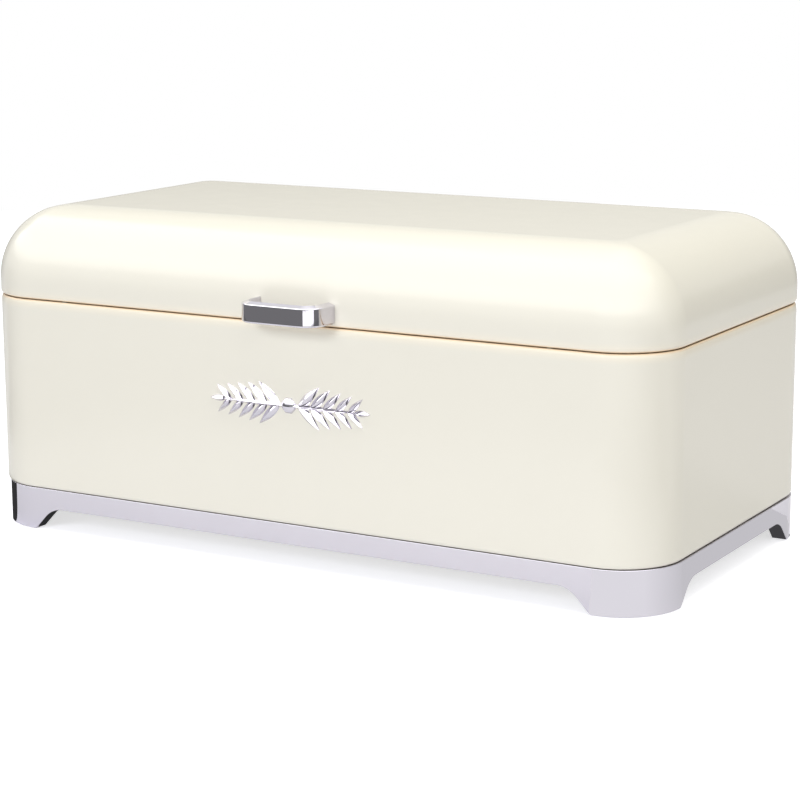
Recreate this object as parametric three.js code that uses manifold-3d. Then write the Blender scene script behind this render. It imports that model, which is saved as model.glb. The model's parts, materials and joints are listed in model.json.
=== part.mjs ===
// A bread box: a painted steel bin on a chromed plinth with four feet, and a rounded lid
// hinged at the back, with a strap handle at the front and a wheat ornament on the bin.
// Millimetres. X runs along the front, Y runs to the back and Z is up.

import * as THREE from "three";
import { mergeVertices } from "three/addons/utils/BufferGeometryUtils.js";
import Module from "manifold-3d";

const wasm = await Module();
wasm.setup();

// Overall sizes
const boxWidth = 420;
const boxDepth = 217.4;
const cornerRadius = 35;
const plinthHeight = 24;
const bodyHeight = 108.2;
const lidHeight = 49.5;

// Sheet metal and clearances
const sheet = 1;
const fitGap = 0.3;
const seatGap = 0.1;
const holeGap = 0.2;
const overrun = 2;

// Lid
const lidFillet = 40.7;
const lidTopCorner = 6;
const lidRimCurl = 2.5;
const lidFlangeWidth = 6;

// Seam between the bin and the lid
const seamGap = 0.4;
const rimDip = 0.6;

// Bin
const wallInset = 0.3;
const beadProud = 0.2;
const beadHeight = 5;
const rimFlangeWidth = 6;
const bottomCurl = 2.5;
const bottomFlangeWidth = 12;

// Collar inside the rim of the bin
const collarSheet = 0.8;
const collarDepth = 14;
const collarRise = 6;

// Floor of the bin
const floorRise = 5;
const floorCurl = 1.5;

// Plinth
const plinthInset = 0.8;
const plinthOffset = 0.8;
const plinthSheet = 1.2;
const plinthLip = 1;
const plinthFlangeWidth = 14;
const channelDepth = 8.7;
const frontFootLength = 35.8;
const sideFootLength = 33.8;
const footSlope = THREE.MathUtils.degToRad(46.5);
const archHeight = 12.7;
const archFillet = 16;

// Rubber feet pressed into the plinth
const footPadProud = 0.4;
const footPadHeight = 6;

// Screws that hold the plinth to the bin
const plinthScrewInset = 9;
const plinthScrewRadius = 1.5;
const plinthScrewHeadRadius = 3;
const plinthScrewHeadHeight = 1.8;
const plinthScrewReach = 2.6;

// Bumpers on the front rim
const bumperSpacing = 300;
const bumperRadius = 1.5;

// Handle
const handleWidth = 49.5;
const handleOffset = 4.3;
const handleStandoff = 20;
const handleHeight = 11.2;
const handleRise = 2.1;
const handleStrap = 4;
const handleCorner = 11;
const handleEdge = 1.7;
const studRadius = 1.25;
const studReach = 4.6;
const washerRadius = 3;
const washerThickness = 0.6;
const nutRadius = 2.9;
const nutThickness = 2;

// Hinges
const hingeSpacing = 240;
const hingeWidth = 30;
const hingeMiddle = 10;
const knuckleRadius = 2.8;
const knuckleGap = 0.2;
const leafThickness = 1.2;
const leafClearance = 0.4;
const lidLeafHeight = 8.8;
const bodyLeafHeight = 17;
const leafStepStart = 7;
const leafStepHeight = 1.5;
const pinRadius = 1.2;
const pinRunningGap = 0.1;
const pinHeadRadius = 1.9;
const pinHeadLength = 0.8;
const lugLength = 6;
const lugThickness = 1.6;
const lugWidth = 8;
const lidStopAngle = THREE.MathUtils.degToRad(108);

// Rivets
const rivetSpacing = 18;
const rivetRadius = 1.2;
const rivetHeadRadius = 2;
const rivetHeadHeight = 1;
const rivetTailRadius = 1.8;
const rivetTailHeight = 0.7;
const lidRivetRise = 6;
const bodyRivetDrop = 12.8;

// Wheat ornament
const wheatLength = 100;
const wheatCentreHeight = 64.9;
const wheatRelief = 2.5;
const stemHalfHeight = 1.4;
const stemRelief = 2.1;
const grainLength = 18.5;
const grainWidth = 5.2;
const grainTilt = THREE.MathUtils.degToRad(43);
const grainPairs = 5;
const firstGrain = 6.5;
const grainPitch = 7.6;
const grainRoot = 1.5;
const tipGrainLength = 10;
const knotRadius = 4.6;
const knotRelief = 3;
const wheatPinSpacing = 60;
const wheatPinRadius = 1;
const wheatPinReach = 1.8;
const pushNutRadius = 3.2;
const pushNutThickness = 0.5;

// Smallest grain of each ear beside the largest one
const grainTaperShare = 0.7;

// Fineness
const cornerSteps = 8;
const filletSteps = 8;
const curlSteps = 3;
const beadSteps = 5;
const roundSides = 12;
const nutSides = 6;
const archDivisions = 4;
const handleBendDivisions = 6;
const handleEdgeDivisions = 2;

// Heights that follow from the sizes above
const plinthBottom = footPadProud;
const bodyBottom = plinthBottom + plinthHeight;
const bodyTop = bodyBottom + bodyHeight;
const lidBottom = bodyTop + seamGap;
const lidTop = lidBottom + lidHeight;
const archTop = plinthBottom + archHeight;
const floorTop = bodyBottom + sheet + floorRise;

const quarter = Math.PI / 2;
const halfTurn = 2 * quarter;
const fullTurn = 4 * quarter;

// The hinge axis lies behind the lid, level with the middle of the seam. The lug on the lid's
// knuckle points to where it meets the outer face of the other leaf at the stop angle.
const axisOffset = knuckleRadius + seatGap;
const axisY = boxDepth / 2 + axisOffset;
const axisZ = bodyTop + seamGap / 2;
const contactDepth = knuckleRadius - leafThickness;
const contactAngle =
  Math.asin(contactDepth / Math.hypot(lugLength, lugThickness / 2)) - Math.atan2(lugThickness / 2, lugLength);
const lugAngle = halfTurn + contactAngle - lidStopAngle;
const lugReach = lugLength * Math.sin(lugAngle) + (lugThickness / 2) * Math.cos(lugAngle);
const hingeProjection = axisOffset + lugReach;

// The outer faces of the bin, and the shift that centres everything over the origin
const frontWallY = -(boxDepth / 2 - wallInset);
const backWallY = boxDepth / 2 - wallInset;
const planShift = (handleStandoff - hingeProjection) / 2;

// The bumpers stand on the flange of the bin, just behind the rolled rim of the lid.
const bumperY = lidRimCurl + rimDip + seatGap + bumperRadius - boxDepth / 2;

const axisX = new THREE.Vector3(1, 0, 0);
const axisYUnit = new THREE.Vector3(0, 1, 0);
const axisZUnit = new THREE.Vector3(0, 0, 1);
const sides = { left: -1, right: 1 };
const ends = { front: -1, back: 1 };

// Materials

function paintedSteel() {
  return new THREE.MeshStandardMaterial({ color: 0xf1eedd, roughness: 0.25, metalness: 0 });
}

function chrome() {
  return new THREE.MeshStandardMaterial({ color: 0xd9d6dc, roughness: 0.08, metalness: 1 });
}

function zincPlate() {
  return new THREE.MeshStandardMaterial({ color: 0xb4b7b9, roughness: 0.35, metalness: 1 });
}

function blackRubber() {
  return new THREE.MeshStandardMaterial({ color: 0x1b1b1c, roughness: 0.85, metalness: 0 });
}

function clearSilicone() {
  return new THREE.MeshStandardMaterial({ color: 0xd8d6cc, roughness: 0.5, metalness: 0 });
}

// Solids and meshes

function solidFrom(geometry) {
  const bare = geometry.clone();
  bare.deleteAttribute("normal");
  bare.deleteAttribute("uv");
  const merged = mergeVertices(bare);
  const mesh = new wasm.Mesh({
    numProp: 3,
    vertProperties: merged.attributes.position.array,
    triVerts: new Uint32Array(merged.index.array),
  });
  return new wasm.Manifold(mesh);
}

function geometryFrom(solid) {
  const mesh = solid.getMesh();
  const geometry = new THREE.BufferGeometry();
  geometry.setAttribute("position", new THREE.BufferAttribute(mesh.vertProperties, 3));
  geometry.setIndex(new THREE.BufferAttribute(mesh.triVerts, 1));
  geometry.computeVertexNormals();
  return geometry;
}

function piece(parent, name, geometry, material) {
  const mesh = new THREE.Mesh(geometry, material);
  mesh.name = name;
  parent.add(mesh);
  return mesh;
}

function cutAll(geometry, cutters) {
  const cut = cutters.reduce((solid, cutter) => solid.subtract(solidFrom(cutter)), solidFrom(geometry));
  return geometryFrom(cut);
}

// Rounded rectangles drawn in by an inset from the outside of the lid, stacked into skins

function ringPoints(inset, height, leastRadius = 0) {
  const radius = Math.max(cornerRadius - inset, leastRadius);
  const centreX = boxWidth / 2 - inset - radius;
  const centreY = boxDepth / 2 - inset - radius;
  const points = [];
  for (const [turn, signX, signY] of [[0, 1, 1], [1, -1, 1], [2, -1, -1], [3, 1, -1]]) {
    for (let step = 0; step <= cornerSteps; step += 1) {
      const angle = quarter * (turn + step / cornerSteps);
      const x = signX * centreX + radius * Math.cos(angle);
      const y = signY * centreY + radius * Math.sin(angle);
      points.push(new THREE.Vector3(x, y, height));
    }
  }
  return points;
}

// A loop of rings closes on itself; a stack is closed by a flat face at each end.
function skinThrough(rings, isLoop) {
  const count = rings[0].length;
  const index = [];
  const bands = isLoop ? rings.length : rings.length - 1;
  for (let band = 0; band < bands; band += 1) {
    const lower = band * count;
    const upper = ((band + 1) % rings.length) * count;
    for (let side = 0; side < count; side += 1) {
      const next = (side + 1) % count;
      index.push(lower + side, lower + next, upper + next);
      index.push(lower + side, upper + next, upper + side);
    }
  }
  if (!isLoop) {
    const last = bands * count;
    for (let side = 1; side < count - 1; side += 1) {
      index.push(0, side + 1, side);
      index.push(last, last + side, last + side + 1);
    }
  }
  const geometry = new THREE.BufferGeometry().setFromPoints(rings.flat());
  geometry.setIndex(index);
  return geometry;
}

function wallLoop(section) {
  return skinThrough(section.map(([inset, height]) => ringPoints(inset, height)), true);
}

function ringWall(outerInset, innerInset, low, high) {
  return wallLoop([[innerInset, low], [outerInset, low], [outerInset, high], [innerInset, high]]);
}

// Points of an elliptical arc in a wall's section, from one angle to another
function sectionArc(centreInset, centreHeight, reachIn, reachUp, from, to, steps) {
  const points = [];
  for (let step = 0; step <= steps; step += 1) {
    const angle = from + ((to - from) * step) / steps;
    points.push([centreInset - reachIn * Math.cos(angle), centreHeight + reachUp * Math.sin(angle)]);
  }
  return points;
}

// Slabs of an outline: the outline is drawn in the two axes that the slab doesn't run along.

function slab(outline, basis, length) {
  const settings = { depth: length, bevelEnabled: false, curveSegments: archDivisions };
  return new THREE.ExtrudeGeometry(outline, settings).applyMatrix4(basis);
}

function slabAlongX(outline, from, to) {
  const basis = new THREE.Matrix4().makeBasis(axisYUnit, axisZUnit, axisX);
  return slab(outline, basis, to - from).translate(from, 0, 0);
}

function slabAlongY(outline, from, to) {
  const basis = new THREE.Matrix4().makeBasis(axisX, axisZUnit, axisYUnit.clone().negate());
  return slab(outline, basis, to - from).translate(0, to, 0);
}

function outlineThrough(points) {
  return new THREE.Shape(points.map(([across, up]) => new THREE.Vector2(across, up)));
}

function rodAlongX(radius, length) {
  return new THREE.CylinderGeometry(radius, radius, length, roundSides).rotateZ(quarter);
}

function rodAlongY(radius, length) {
  return new THREE.CylinderGeometry(radius, radius, length, roundSides);
}

function rodAlongZ(radius, length) {
  return new THREE.CylinderGeometry(radius, radius, length, roundSides).rotateX(quarter);
}

function washerShape(outerRadius, holeRadius, outerSides) {
  const shape = new THREE.Shape();
  for (let side = 0; side < outerSides; side += 1) {
    const angle = (side / outerSides) * fullTurn;
    const point = [outerRadius * Math.cos(angle), outerRadius * Math.sin(angle)];
    if (side === 0) shape.moveTo(...point);
    else shape.lineTo(...point);
  }
  shape.closePath();
  shape.holes.push(new THREE.Path().absarc(0, 0, holeRadius, 0, fullTurn));
  return shape;
}

// Places that several pieces share

function plinthScrewPlaces() {
  const reach = (cornerRadius - plinthScrewInset) * Math.SQRT1_2;
  const x = boxWidth / 2 - cornerRadius + reach;
  const y = boxDepth / 2 - cornerRadius + reach;
  return eachCorner((name, signX, signY) => ({ name, x: signX * x, y: signY * y }));
}

function eachCorner(make) {
  return Object.entries(ends).flatMap(([end, signY]) =>
    Object.entries(sides).map(([side, signX]) => make(`${end}_${side}`, signX, signY)),
  );
}

function handleStudPlaces() {
  const reach = (handleWidth - handleStrap) / 2;
  const z = lidBottom + handleRise + handleHeight / 2;
  return Object.entries(sides).map(([name, sign]) => ({ name, x: handleOffset + sign * reach, z }));
}

function wheatPinPlaces() {
  const z = bodyBottom + wheatCentreHeight;
  return Object.entries(sides).map(([name, sign]) => ({ name, x: (sign * wheatPinSpacing) / 2, z }));
}

function rivetPlaces(height) {
  return Object.entries(sides).flatMap(([side, sign]) =>
    Object.entries({ outer: sign, inner: -sign }).map(([which, way]) => ({
      name: `${side}_${which}`,
      x: (sign * hingeSpacing) / 2 + (way * rivetSpacing) / 2,
      z: height,
    })),
  );
}

// Bin

function bodyShell() {
  const beadMiddle = bodyTop - beadHeight / 2;
  const innerFace = wallInset + sheet;
  const flangeTop = bodyTop - rimDip;
  const rimEdge = wallInset + rimFlangeWidth;
  const bottomEdge = wallInset + bottomFlangeWidth;
  const curlCentre = wallInset + bottomCurl;
  const beadReach = beadProud + sheet;
  const section = [
    [bottomEdge, bodyBottom],
    ...sectionArc(curlCentre, bodyBottom + bottomCurl, bottomCurl, bottomCurl, -quarter, 0, curlSteps),
    [wallInset, bodyTop - beadHeight],
    ...sectionArc(innerFace, beadMiddle, beadReach, beadHeight / 2, -quarter / 2, quarter, beadSteps),
    [innerFace + rimDip, flangeTop],
    [rimEdge, flangeTop],
    [rimEdge, flangeTop - sheet],
    [innerFace, flangeTop - sheet],
    [innerFace, bodyBottom + sheet],
    [bottomEdge, bodyBottom + sheet],
  ];
  const holes = [
    ...plinthScrewPlaces().map(({ x, y }) =>
      rodAlongZ(plinthScrewRadius + holeGap, sheet + 2 * overrun).translate(x, y, bodyBottom + sheet / 2),
    ),
    ...wheatPinPlaces().map(({ x, z }) =>
      rodAlongY(wheatPinRadius + holeGap, sheet + 2 * overrun).translate(x, frontWallY + sheet / 2, z),
    ),
    ...rivetPlaces(axisZ - bodyRivetDrop).map(({ x, z }) =>
      rodAlongY(rivetRadius + holeGap, sheet + 2 * overrun).translate(x, backWallY - sheet / 2, z),
    ),
  ];
  return cutAll(wallLoop(section), holes);
}

function rimCollar() {
  const outerInset = wallInset + rimFlangeWidth + fitGap;
  return ringWall(outerInset, outerInset + collarSheet, bodyTop - collarDepth, bodyTop + collarRise);
}

// The floor is an upturned tray: its skirt stands on the flange of the bin.
function bottomPan() {
  const edge = wallInset + sheet + fitGap;
  const skirtBottom = bodyBottom + sheet;
  const centre = edge + floorCurl;
  const rings = [
    [edge + sheet, floorTop - sheet],
    [edge + sheet, skirtBottom],
    [edge, skirtBottom],
    ...sectionArc(centre, floorTop - floorCurl, floorCurl, floorCurl, 0, quarter, curlSteps),
  ];
  return skinThrough(rings.map(([inset, height]) => ringPoints(inset, height)), false);
}

// Arch under one side of the plinth, with sloped ends and rounded shoulders, grown by a margin
function archOutline(sideLength, footLength, margin) {
  const halfSpan = sideLength / 2 - footLength + margin / Math.sin(footSlope);
  const top = archTop + margin;
  const radius = archFillet + margin;
  const rise = top - plinthBottom;
  const shoulder = halfSpan - rise / Math.tan(footSlope) - radius * Math.tan(footSlope / 2);
  const below = plinthBottom - overrun;
  const flare = halfSpan + overrun / Math.tan(footSlope);
  const outline = new THREE.Shape();
  outline.moveTo(flare, below);
  outline.lineTo(-flare, below);
  outline.absarc(-shoulder, top - radius, radius, quarter + footSlope, quarter, true);
  outline.absarc(shoulder, top - radius, radius, quarter, quarter - footSlope, true);
  outline.closePath();
  return outline;
}

function archCutters(margin) {
  const halfDepth = boxDepth / 2 + overrun;
  const halfWidth = boxWidth / 2 + overrun;
  return [
    slabAlongY(archOutline(boxWidth, frontFootLength, margin), -halfDepth, halfDepth),
    slabAlongX(archOutline(boxDepth, sideFootLength, margin), -halfWidth, halfWidth),
  ];
}

// The plinth is a channel: an outer wall, a flange under the bin and a lip turned in along the arches.
function plinth() {
  const flangeBottom = bodyBottom - plinthSheet;
  const channelEdge = plinthInset + channelDepth;
  const flangeEdge = plinthInset + plinthFlangeWidth;
  const lipCentre = plinthInset + plinthLip;
  const section = [
    [channelEdge, plinthBottom],
    [plinthInset, plinthBottom],
    ...sectionArc(lipCentre, bodyBottom - plinthLip, plinthLip, plinthLip, 0, quarter, curlSteps),
    [flangeEdge, bodyBottom],
    [flangeEdge, flangeBottom],
    [channelEdge, flangeBottom],
  ];
  const channel = ringWall(
    plinthInset + plinthSheet,
    channelEdge + overrun,
    plinthBottom - overrun,
    flangeBottom,
  );
  const grown = archCutters(plinthSheet);
  const pocket = cutAll(channel, grown);
  const screwHoles = plinthScrewPlaces().map(({ x, y }) =>
    rodAlongZ(plinthScrewRadius + holeGap, plinthSheet + 2 * overrun).translate(x - plinthOffset, y, flangeBottom),
  );
  return cutAll(wallLoop(section), [pocket, ...archCutters(0), ...screwHoles]);
}

// Each rubber foot fills the channel round its corner, between the sloped ends of the arches.
function footPad(signX, signY) {
  const plug = ringWall(
    plinthInset + plinthSheet + fitGap,
    plinthInset + channelDepth,
    plinthBottom - footPadProud,
    plinthBottom + footPadHeight,
  );
  const quadrant = new THREE.BoxGeometry(boxWidth, boxDepth, plinthHeight);
  quadrant.translate((signX * boxWidth) / 2, (signY * boxDepth) / 2, plinthHeight / 2);
  const corner = solidFrom(plug).intersect(solidFrom(quadrant));
  return cutAll(geometryFrom(corner), archCutters(plinthSheet + fitGap));
}

function plinthScrew() {
  const headTop = -plinthSheet - seatGap;
  const headBottom = headTop - plinthScrewHeadHeight;
  const tip = sheet + plinthScrewReach;
  const profile = [
    [0, headBottom],
    [plinthScrewHeadRadius / 2, headBottom],
    [plinthScrewHeadRadius, headBottom + plinthScrewHeadHeight / 2],
    [plinthScrewHeadRadius, headTop],
    [plinthScrewRadius, headTop],
    [plinthScrewRadius, tip - plinthScrewRadius / 2],
    [plinthScrewRadius / 2, tip],
    [0, tip],
  ];
  return turned(profile).rotateX(quarter);
}

function turned(profile) {
  const points = profile.map(([radius, along]) => new THREE.Vector2(radius, along));
  return new THREE.LatheGeometry(points, roundSides);
}

function rimBumper() {
  const height = seamGap + 2 * rimDip - seatGap;
  return rodAlongZ(bumperRadius, height).translate(0, 0, height / 2);
}

// Lid

function lidShell() {
  const flangeEdge = lidFlangeWidth;
  const flangeBottom = lidBottom + rimDip;
  const filletBottom = lidTop - lidFillet;
  const section = [
    ...sectionArc(lidFillet, filletBottom, lidFillet - sheet, lidFillet - sheet, quarter, 0, filletSteps),
    [sheet, flangeBottom + sheet],
    [flangeEdge, flangeBottom + sheet],
    [flangeEdge, flangeBottom],
    [lidRimCurl + rimDip, flangeBottom],
    ...sectionArc(lidRimCurl, lidBottom + lidRimCurl, lidRimCurl, lidRimCurl, -quarter, 0, curlSteps),
    ...sectionArc(lidFillet, filletBottom, lidFillet, lidFillet, 0, quarter, filletSteps),
  ];
  const skin = skinThrough(section.map(([inset, height]) => ringPoints(inset, height, lidTopCorner)), false);
  const holes = [
    ...handleStudPlaces().map(({ x, z }) =>
      rodAlongY(studRadius + holeGap, sheet + 2 * overrun).translate(x, -boxDepth / 2, z),
    ),
    ...rivetPlaces(axisZ + lidRivetRise).map(({ x, z }) =>
      rodAlongY(rivetRadius + holeGap, sheet + 2 * overrun).translate(x, boxDepth / 2, z),
    ),
  ];
  return cutAll(skin, holes);
}

// The handle is a strap bent into a U, with a threaded stud on the end of each leg.
function handle() {
  const half = handleWidth / 2;
  const innerHalf = half - handleStrap;
  const root = -seatGap;
  const front = -handleStandoff;
  const innerFront = front + handleStrap;
  const innerCorner = handleCorner - handleStrap;
  const outline = new THREE.Shape();
  outline.moveTo(half, root);
  outline.lineTo(innerHalf, root);
  const bendX = innerHalf - innerCorner;
  const bendY = innerFront + innerCorner;
  outline.absarc(bendX, bendY, innerCorner, 0, -quarter, true);
  outline.absarc(-bendX, bendY, innerCorner, -quarter, -halfTurn, true);
  outline.lineTo(-innerHalf, root);
  outline.lineTo(-half, root);
  outline.absarc(-bendX, bendY, handleCorner, halfTurn, halfTurn + quarter);
  outline.absarc(bendX, bendY, handleCorner, halfTurn + quarter, fullTurn);
  outline.closePath();
  const strap = new THREE.ExtrudeGeometry(outline, {
    depth: handleHeight - 2 * handleEdge,
    bevelThickness: handleEdge,
    bevelSize: handleEdge,
    bevelOffset: -handleEdge,
    bevelSegments: handleEdgeDivisions,
    curveSegments: handleBendDivisions,
  });
  strap.translate(handleOffset, 0, lidBottom + handleRise + handleEdge);
  const studLength = studReach + handleStrap;
  return handleStudPlaces().reduce((solid, { x, z }) => {
    const stud = rodAlongY(studRadius, studLength).translate(x, studReach - studLength / 2, z);
    return solid.add(solidFrom(stud));
  }, solidFrom(strap));
}

function handleWasher() {
  const outline = washerShape(washerRadius, studRadius + holeGap, roundSides);
  return slabAlongY(outline, 0, washerThickness);
}

function handleNut() {
  const outline = washerShape(nutRadius, studRadius + holeGap, nutSides);
  return slabAlongY(outline, 0, nutThickness);
}

// Hinges: Y and Z are measured from the hinge axis.

function knuckle(from, to) {
  return rodAlongX(knuckleRadius, to - from).translate((from + to) / 2, 0, 0);
}

function leaf(platePoints, neckPoints, spans, rivetHeight) {
  const plate = slabAlongX(outlineThrough(platePoints), -hingeWidth / 2, hingeWidth / 2);
  const joined = spans.reduce((solid, [from, to]) => {
    const neck = slabAlongX(outlineThrough(neckPoints), from, to);
    return solid.add(solidFrom(neck)).add(solidFrom(knuckle(from, to)));
  }, solidFrom(plate));
  const bore = rodAlongX(pinRadius + pinRunningGap, hingeWidth + 2 * overrun);
  const bored = joined.subtract(solidFrom(bore));
  return Object.values(sides).reduce((solid, sign) => {
    const hole = rodAlongY(rivetRadius + holeGap, 2 * (knuckleRadius + overrun));
    hole.translate((sign * rivetSpacing) / 2, leafInner, rivetHeight);
    return solid.subtract(solidFrom(hole));
  }, bored);
}

// Both leaves touch the knuckle along its front, so a leaf's outer face lies inside the knuckle.
const leafInner = -knuckleRadius;
const leafOuter = leafInner + leafThickness;
const leafEdge = knuckleRadius + leafClearance;

function bodyLeaf() {
  const stepEnd = -leafStepStart - leafStepHeight;
  const wallSide = backWallY - axisY + seatGap;
  const points = [
    [leafInner, -leafEdge],
    [leafInner, -leafStepStart],
    [wallSide, stepEnd],
    [wallSide, -bodyLeafHeight],
    [wallSide + leafThickness, -bodyLeafHeight],
    [wallSide + leafThickness, stepEnd],
    [leafOuter, -leafStepStart],
    [leafOuter, -leafEdge],
  ];
  const neck = [
    [leafInner, 0],
    [leafInner, -leafEdge - leafClearance],
    [leafOuter, -leafEdge - leafClearance],
    [leafOuter, 0],
  ];
  const outer = hingeWidth / 2;
  const inner = hingeMiddle / 2 + knuckleGap;
  return geometryFrom(leaf(points, neck, [[-outer, -inner], [inner, outer]], -bodyRivetDrop));
}

// The lid's leaf carries a lug on its middle knuckle, which meets the other leaf and stops the lid.
function lidLeaf() {
  const points = [
    [leafInner, leafEdge],
    [leafOuter, leafEdge],
    [leafOuter, lidLeafHeight],
    [leafInner, lidLeafHeight],
  ];
  const neck = [
    [leafInner, 0],
    [leafOuter, 0],
    [leafOuter, leafEdge + leafClearance],
    [leafInner, leafEdge + leafClearance],
  ];
  const half = hingeMiddle / 2;
  const lugBase = pinRadius + pinRunningGap;
  const lug = new THREE.BoxGeometry(lugWidth, lugThickness, lugLength - lugBase);
  lug.translate(0, 0, (lugLength + lugBase) / 2);
  lug.rotateX(-lugAngle);
  return geometryFrom(leaf(points, neck, [[-half, half]], lidRivetRise).add(solidFrom(lug)));
}

function hingePin() {
  const shankEnd = hingeWidth / 2 + knuckleGap;
  const end = shankEnd + pinHeadLength;
  const profile = [
    [0, -end],
    [pinHeadRadius, -end],
    [pinHeadRadius, -shankEnd],
    [pinRadius, -shankEnd],
    [pinRadius, shankEnd],
    [pinHeadRadius, shankEnd],
    [pinHeadRadius, end],
    [0, end],
  ];
  return turned(profile).rotateZ(quarter);
}

// A rivet starts at the outer face of a leaf and grips what lies behind it.
function rivet(grip) {
  const headBase = seatGap;
  const tailBase = -grip - seatGap;
  const profile = [
    [0, tailBase - rivetTailHeight],
    [rivetTailRadius, tailBase - rivetTailHeight],
    [rivetTailRadius, tailBase],
    [rivetRadius, tailBase],
    [rivetRadius, headBase],
  ];
  for (let step = 0; step <= curlSteps; step += 1) {
    const angle = (quarter * step) / curlSteps;
    const radius = step < curlSteps ? rivetHeadRadius * Math.cos(angle) : 0;
    profile.push([radius, headBase + rivetHeadHeight * Math.sin(angle)]);
  }
  return turned(profile);
}

// Wheat ornament, drawn flat in X and Z with its relief towards -Y

function facetedGrain(length, width, relief) {
  return new THREE.OctahedronGeometry(1).scale(length / 2, relief, width / 2);
}

function wheatEar(sign) {
  const grains = [];
  for (let pair = 0; pair < grainPairs; pair += 1) {
    const share = 1 - ((1 - grainTaperShare) * pair) / (grainPairs - 1);
    const length = grainLength * share;
    for (const way of Object.values(sides)) {
      const grain = facetedGrain(length, grainWidth * share, wheatRelief);
      grain.translate(length / 2 - grainRoot, 0, 0).rotateY(-way * grainTilt);
      grains.push(grain.translate(firstGrain + pair * grainPitch, 0, 0));
    }
  }
  const tip = facetedGrain(tipGrainLength, grainWidth * grainTaperShare, wheatRelief);
  grains.push(tip.translate((wheatLength - tipGrainLength) / 2, 0, 0));
  return grains.map((grain) => (sign < 0 ? grain.rotateY(halfTurn) : grain));
}

function wheatOrnament() {
  const stem = facetedGrain(wheatLength - tipGrainLength, 2 * stemHalfHeight, stemRelief);
  const knot = facetedGrain(2 * knotRadius, 2 * knotRadius, knotRelief);
  const parts = [...wheatEar(sides.right), ...wheatEar(sides.left), knot];
  const full = parts.reduce((solid, part) => solid.add(solidFrom(part)), solidFrom(stem));
  const behind = new THREE.BoxGeometry(wheatLength + 2 * overrun, 2 * knotRelief, wheatLength);
  const raised = full.subtract(solidFrom(behind.translate(0, knotRelief, 0)));
  const pinFront = -stemRelief / 2;
  const pinEnd = seatGap + sheet + wheatPinReach;
  const pins = Object.values(sides).map((sign) =>
    rodAlongY(wheatPinRadius, pinEnd - pinFront).translate(
      (sign * wheatPinSpacing) / 2,
      (pinFront + pinEnd) / 2,
      0,
    ),
  );
  return geometryFrom(pins.reduce((solid, pin) => solid.add(solidFrom(pin)), raised));
}

function pushNut() {
  return slabAlongY(washerShape(pushNutRadius, wheatPinRadius + holeGap, roundSides), 0, pushNutThickness);
}

// Assembly

function binGroup() {
  const bin = new THREE.Group();
  piece(bin, "body_shell", bodyShell(), paintedSteel());
  piece(bin, "rim_collar", rimCollar(), paintedSteel());
  piece(bin, "bottom_pan", bottomPan(), paintedSteel());
  piece(bin, "plinth", plinth(), chrome()).position.x = plinthOffset;
  eachCorner((name, signX, signY) => {
    piece(bin, `foot_pad_${name}`, footPad(signX, signY), blackRubber()).position.x = plinthOffset;
  });
  for (const { name, x, y } of plinthScrewPlaces()) {
    piece(bin, `plinth_screw_${name}`, plinthScrew(), zincPlate()).position.set(x, y, bodyBottom);
  }
  for (const [name, sign] of Object.entries(sides)) {
    const bumper = piece(bin, `rim_bumper_${name}`, rimBumper(), clearSilicone());
    bumper.position.set((sign * bumperSpacing) / 2, bumperY, bodyTop - rimDip);
  }
  const wheat = piece(bin, "wheat_ornament", wheatOrnament(), chrome());
  wheat.position.set(0, frontWallY - seatGap, bodyBottom + wheatCentreHeight);
  for (const { name, x, z } of wheatPinPlaces()) {
    const nut = piece(bin, `ornament_push_nut_${name}`, pushNut(), zincPlate());
    nut.position.set(x, frontWallY + sheet + seatGap, z);
  }
  return bin;
}

function lidGroup() {
  const lid = new THREE.Group();
  piece(lid, "lid_shell", lidShell(), paintedSteel());
  piece(lid, "handle", geometryFrom(handle()), chrome()).position.set(0, -boxDepth / 2, 0);
  const washerY = sheet + fitGap - boxDepth / 2;
  for (const { name, x, z } of handleStudPlaces()) {
    piece(lid, `handle_washer_${name}`, handleWasher(), zincPlate()).position.set(x, washerY, z);
    const nut = piece(lid, `handle_nut_${name}`, handleNut(), zincPlate());
    nut.position.set(x, washerY + washerThickness + seatGap, z);
  }
  return lid;
}

function hingeGroup() {
  const hinges = new THREE.Group();
  for (const [name, sign] of Object.entries(sides)) {
    const x = (sign * hingeSpacing) / 2;
    piece(hinges, `hinge_body_leaf_${name}`, bodyLeaf(), zincPlate()).position.set(x, axisY, axisZ);
    piece(hinges, `hinge_lid_leaf_${name}`, lidLeaf(), zincPlate()).position.set(x, axisY, axisZ);
    piece(hinges, `hinge_pin_${name}`, hingePin(), zincPlate()).position.set(x, axisY, axisZ);
  }
  const grip = leafThickness + sheet + seatGap;
  const bodyLeafFace = backWallY + seatGap + leafThickness;
  for (const { name, x, z } of rivetPlaces(axisZ - bodyRivetDrop)) {
    piece(hinges, `body_rivet_${name}`, rivet(grip), zincPlate()).position.set(x, bodyLeafFace, z);
  }
  for (const { name, x, z } of rivetPlaces(axisZ + lidRivetRise)) {
    piece(hinges, `lid_rivet_${name}`, rivet(grip), zincPlate()).position.set(x, axisY + leafOuter, z);
  }
  return hinges;
}

const group = new THREE.Group();
const box = new THREE.Group();
box.add(binGroup(), lidGroup(), hingeGroup());
box.position.y = planShift;
group.add(box);

export default group;
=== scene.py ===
# A bread box: painted steel bin and lid, chromed plinth, handle and wheat ornament.
# Metres. X runs along the front, Y runs to the back and Z is up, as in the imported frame.
import json
import math

import bmesh
import bpy
from bpy.props import FloatProperty, FloatVectorProperty, IntProperty, PointerProperty
from mathutils import Matrix, Vector

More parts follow.
